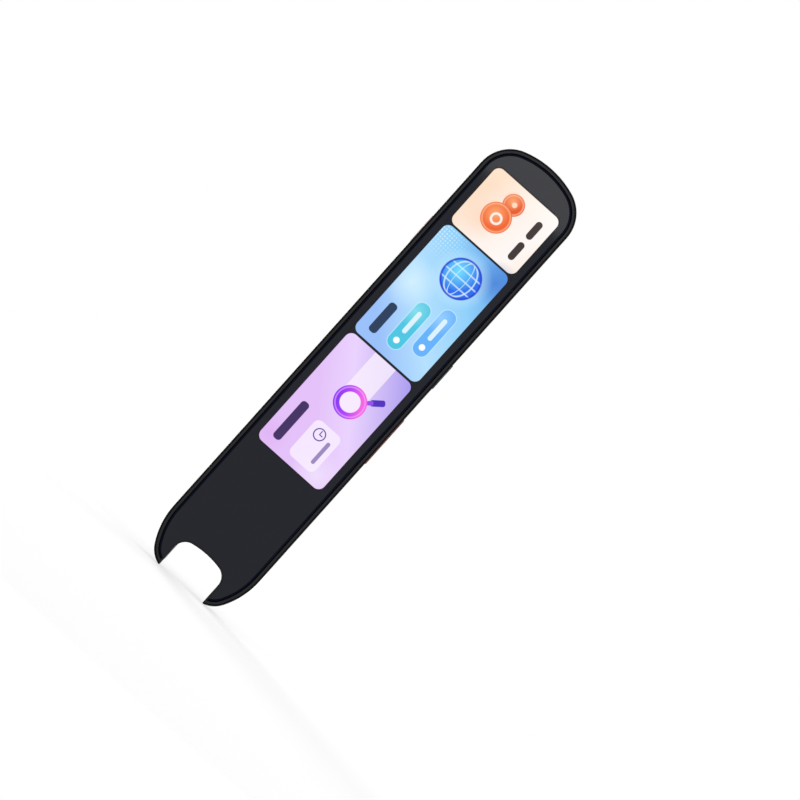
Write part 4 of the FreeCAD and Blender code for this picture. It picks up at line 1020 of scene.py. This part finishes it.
def build_floor():
    """A round white floor just under the tip.

    It bounces light as white paper. Where it is seen, it is half lit from within, so that it
    fades into the white room and keeps a soft shadow.
    """
    bm = bmesh.new()
    bmesh.ops.create_circle(bm, cap_ends=True, segments=96, radius=FLOOR_RADIUS)
    bmesh.ops.translate(bm, vec=(0, 0, CAD_BOX[0].z - FLOOR_DROP), verts=bm.verts)
    mesh = bpy.data.meshes.new("studio_floor")
    bm.to_mesh(mesh)
    bm.free()
    floor = bpy.data.objects.new("studio_floor", mesh)
    bpy.context.scene.collection.objects.link(floor)
    s = Surface("studio_paper")
    paper, dim = (
        add_node(s.tree, "ShaderNodeBsdfDiffuse", {"Color": (grey, grey, grey, 1)}).outputs[0]
        for grey in (FLOOR_PAPER, FLOOR_SEEN)
    )
    glow = add_node(s.tree, "ShaderNodeEmission", {"Strength": FLOOR_GLOW}).outputs[0]
    both = add_node(s.tree, "ShaderNodeAddShader", {0: dim, 1: glow})
    seen = seen_as_background(s.tree)
    mesh.materials.append(s.finish(mix_shaders(s.tree, seen, paper, both.outputs[0])))


def build_camera(lens):
    """Looks straight at the screen, rolled so that the pen leans as in the photograph."""
    tilt = math.radians(PHOTO_TILT)
    up = Vector((-math.sin(tilt), 0, math.cos(tilt)))
    right = Vector((math.cos(tilt), 0, math.sin(tilt)))
    low, high = CAD_BOX
    scale = (high.z - low.z) / PHOTO_LENGTH
    across = (IMAGE_SIZE / 2 - PHOTO_CENTRE[0]) * scale
    above = (PHOTO_CENTRE[1] - IMAGE_SIZE / 2) * scale
    data = bpy.data.cameras.new("photo_camera")
    data.lens = lens
    data.sensor_width = SENSOR_WIDTH
    distance = IMAGE_SIZE * scale * lens / SENSOR_WIDTH
    centre = (low + high) / 2
    camera = bpy.data.objects.new("photo_camera", data)
    place = Vector((centre.x, low.y - distance, centre.z)) + right * across + up * above
    back = Vector((0, -1, 0))
    turn = Matrix((right, up, back)).transposed()
    camera.matrix_world = Matrix.Translation(place) @ turn.to_4x4()
    bpy.context.scene.collection.objects.link(camera)
    bpy.context.scene.camera = camera


class TRANSLATOR_OT_stage(DressOperator, bpy.types.Operator):
    """Set the camera, the lamps, the room and the floor"""

    bl_idname = "translator.stage"
    bl_label = "Set the stage"

    def execute(self, context):
        settings = context.scene.translator_stage
        context.scene.view_settings.view_transform = "Standard"
        build_camera(settings.lens)
        build_world(settings.sky_strength)
        build_floor()
        for name, (place, target, size, share) in SOFT_BOXES.items():
            add_soft_box(name, place, target, size, settings.lamp_strength * share)
        return {"FINISHED"}


class TRANSLATOR_PT_panel(bpy.types.Panel):
    """Lists the steps that dress the translator"""

    bl_idname = "TRANSLATOR_PT_panel"
    bl_label = "Handheld translator"
    bl_space_type = "VIEW_3D"
    bl_region_type = "UI"
    bl_category = "Translator"

    def draw(self, context):
        scene = context.scene
        for settings in (scene.translator_body, scene.translator_screen, scene.translator_stage):
            for name in settings.bl_rna.properties.keys():
                if name not in ("rna_type", "name"):
                    self.layout.prop(settings, name)
        for operator in OPERATORS:
            self.layout.operator(operator.bl_idname)


SETTINGS = {
    "translator_body": TranslatorBodySettings,
    "translator_screen": TranslatorScreenSettings,
    "translator_stage": TranslatorStageSettings,
}
OPERATORS = (
    TRANSLATOR_OT_stage,
    TRANSLATOR_OT_shell,
    TRANSLATOR_OT_front,
    TRANSLATOR_OT_screen,
    TRANSLATOR_OT_speaker,
    TRANSLATOR_OT_tip,
    TRANSLATOR_OT_keys,
    TRANSLATOR_OT_inside,
    TRANSLATOR_OT_port,
)


def register():
    """Adds the settings, the operators and the panel."""
    for name, group in SETTINGS.items():
        bpy.utils.register_class(group)
        setattr(bpy.types.Scene, name, bpy.props.PointerProperty(type=group))
    for item in (*OPERATORS, TRANSLATOR_PT_panel):
        bpy.utils.register_class(item)


def unregister():
    """Takes out what register adds."""
    for item in (TRANSLATOR_PT_panel, *reversed(OPERATORS)):
        bpy.utils.unregister_class(item)
    for name, group in SETTINGS.items():
        delattr(bpy.types.Scene, name)
        bpy.utils.unregister_class(group)


def main():
    """Dresses the frame."""
    register()
    for operator in OPERATORS:
        area, name = operator.bl_idname.split(".")
        getattr(getattr(bpy.ops, area), name)()


if __name__ == "__main__":
    main()
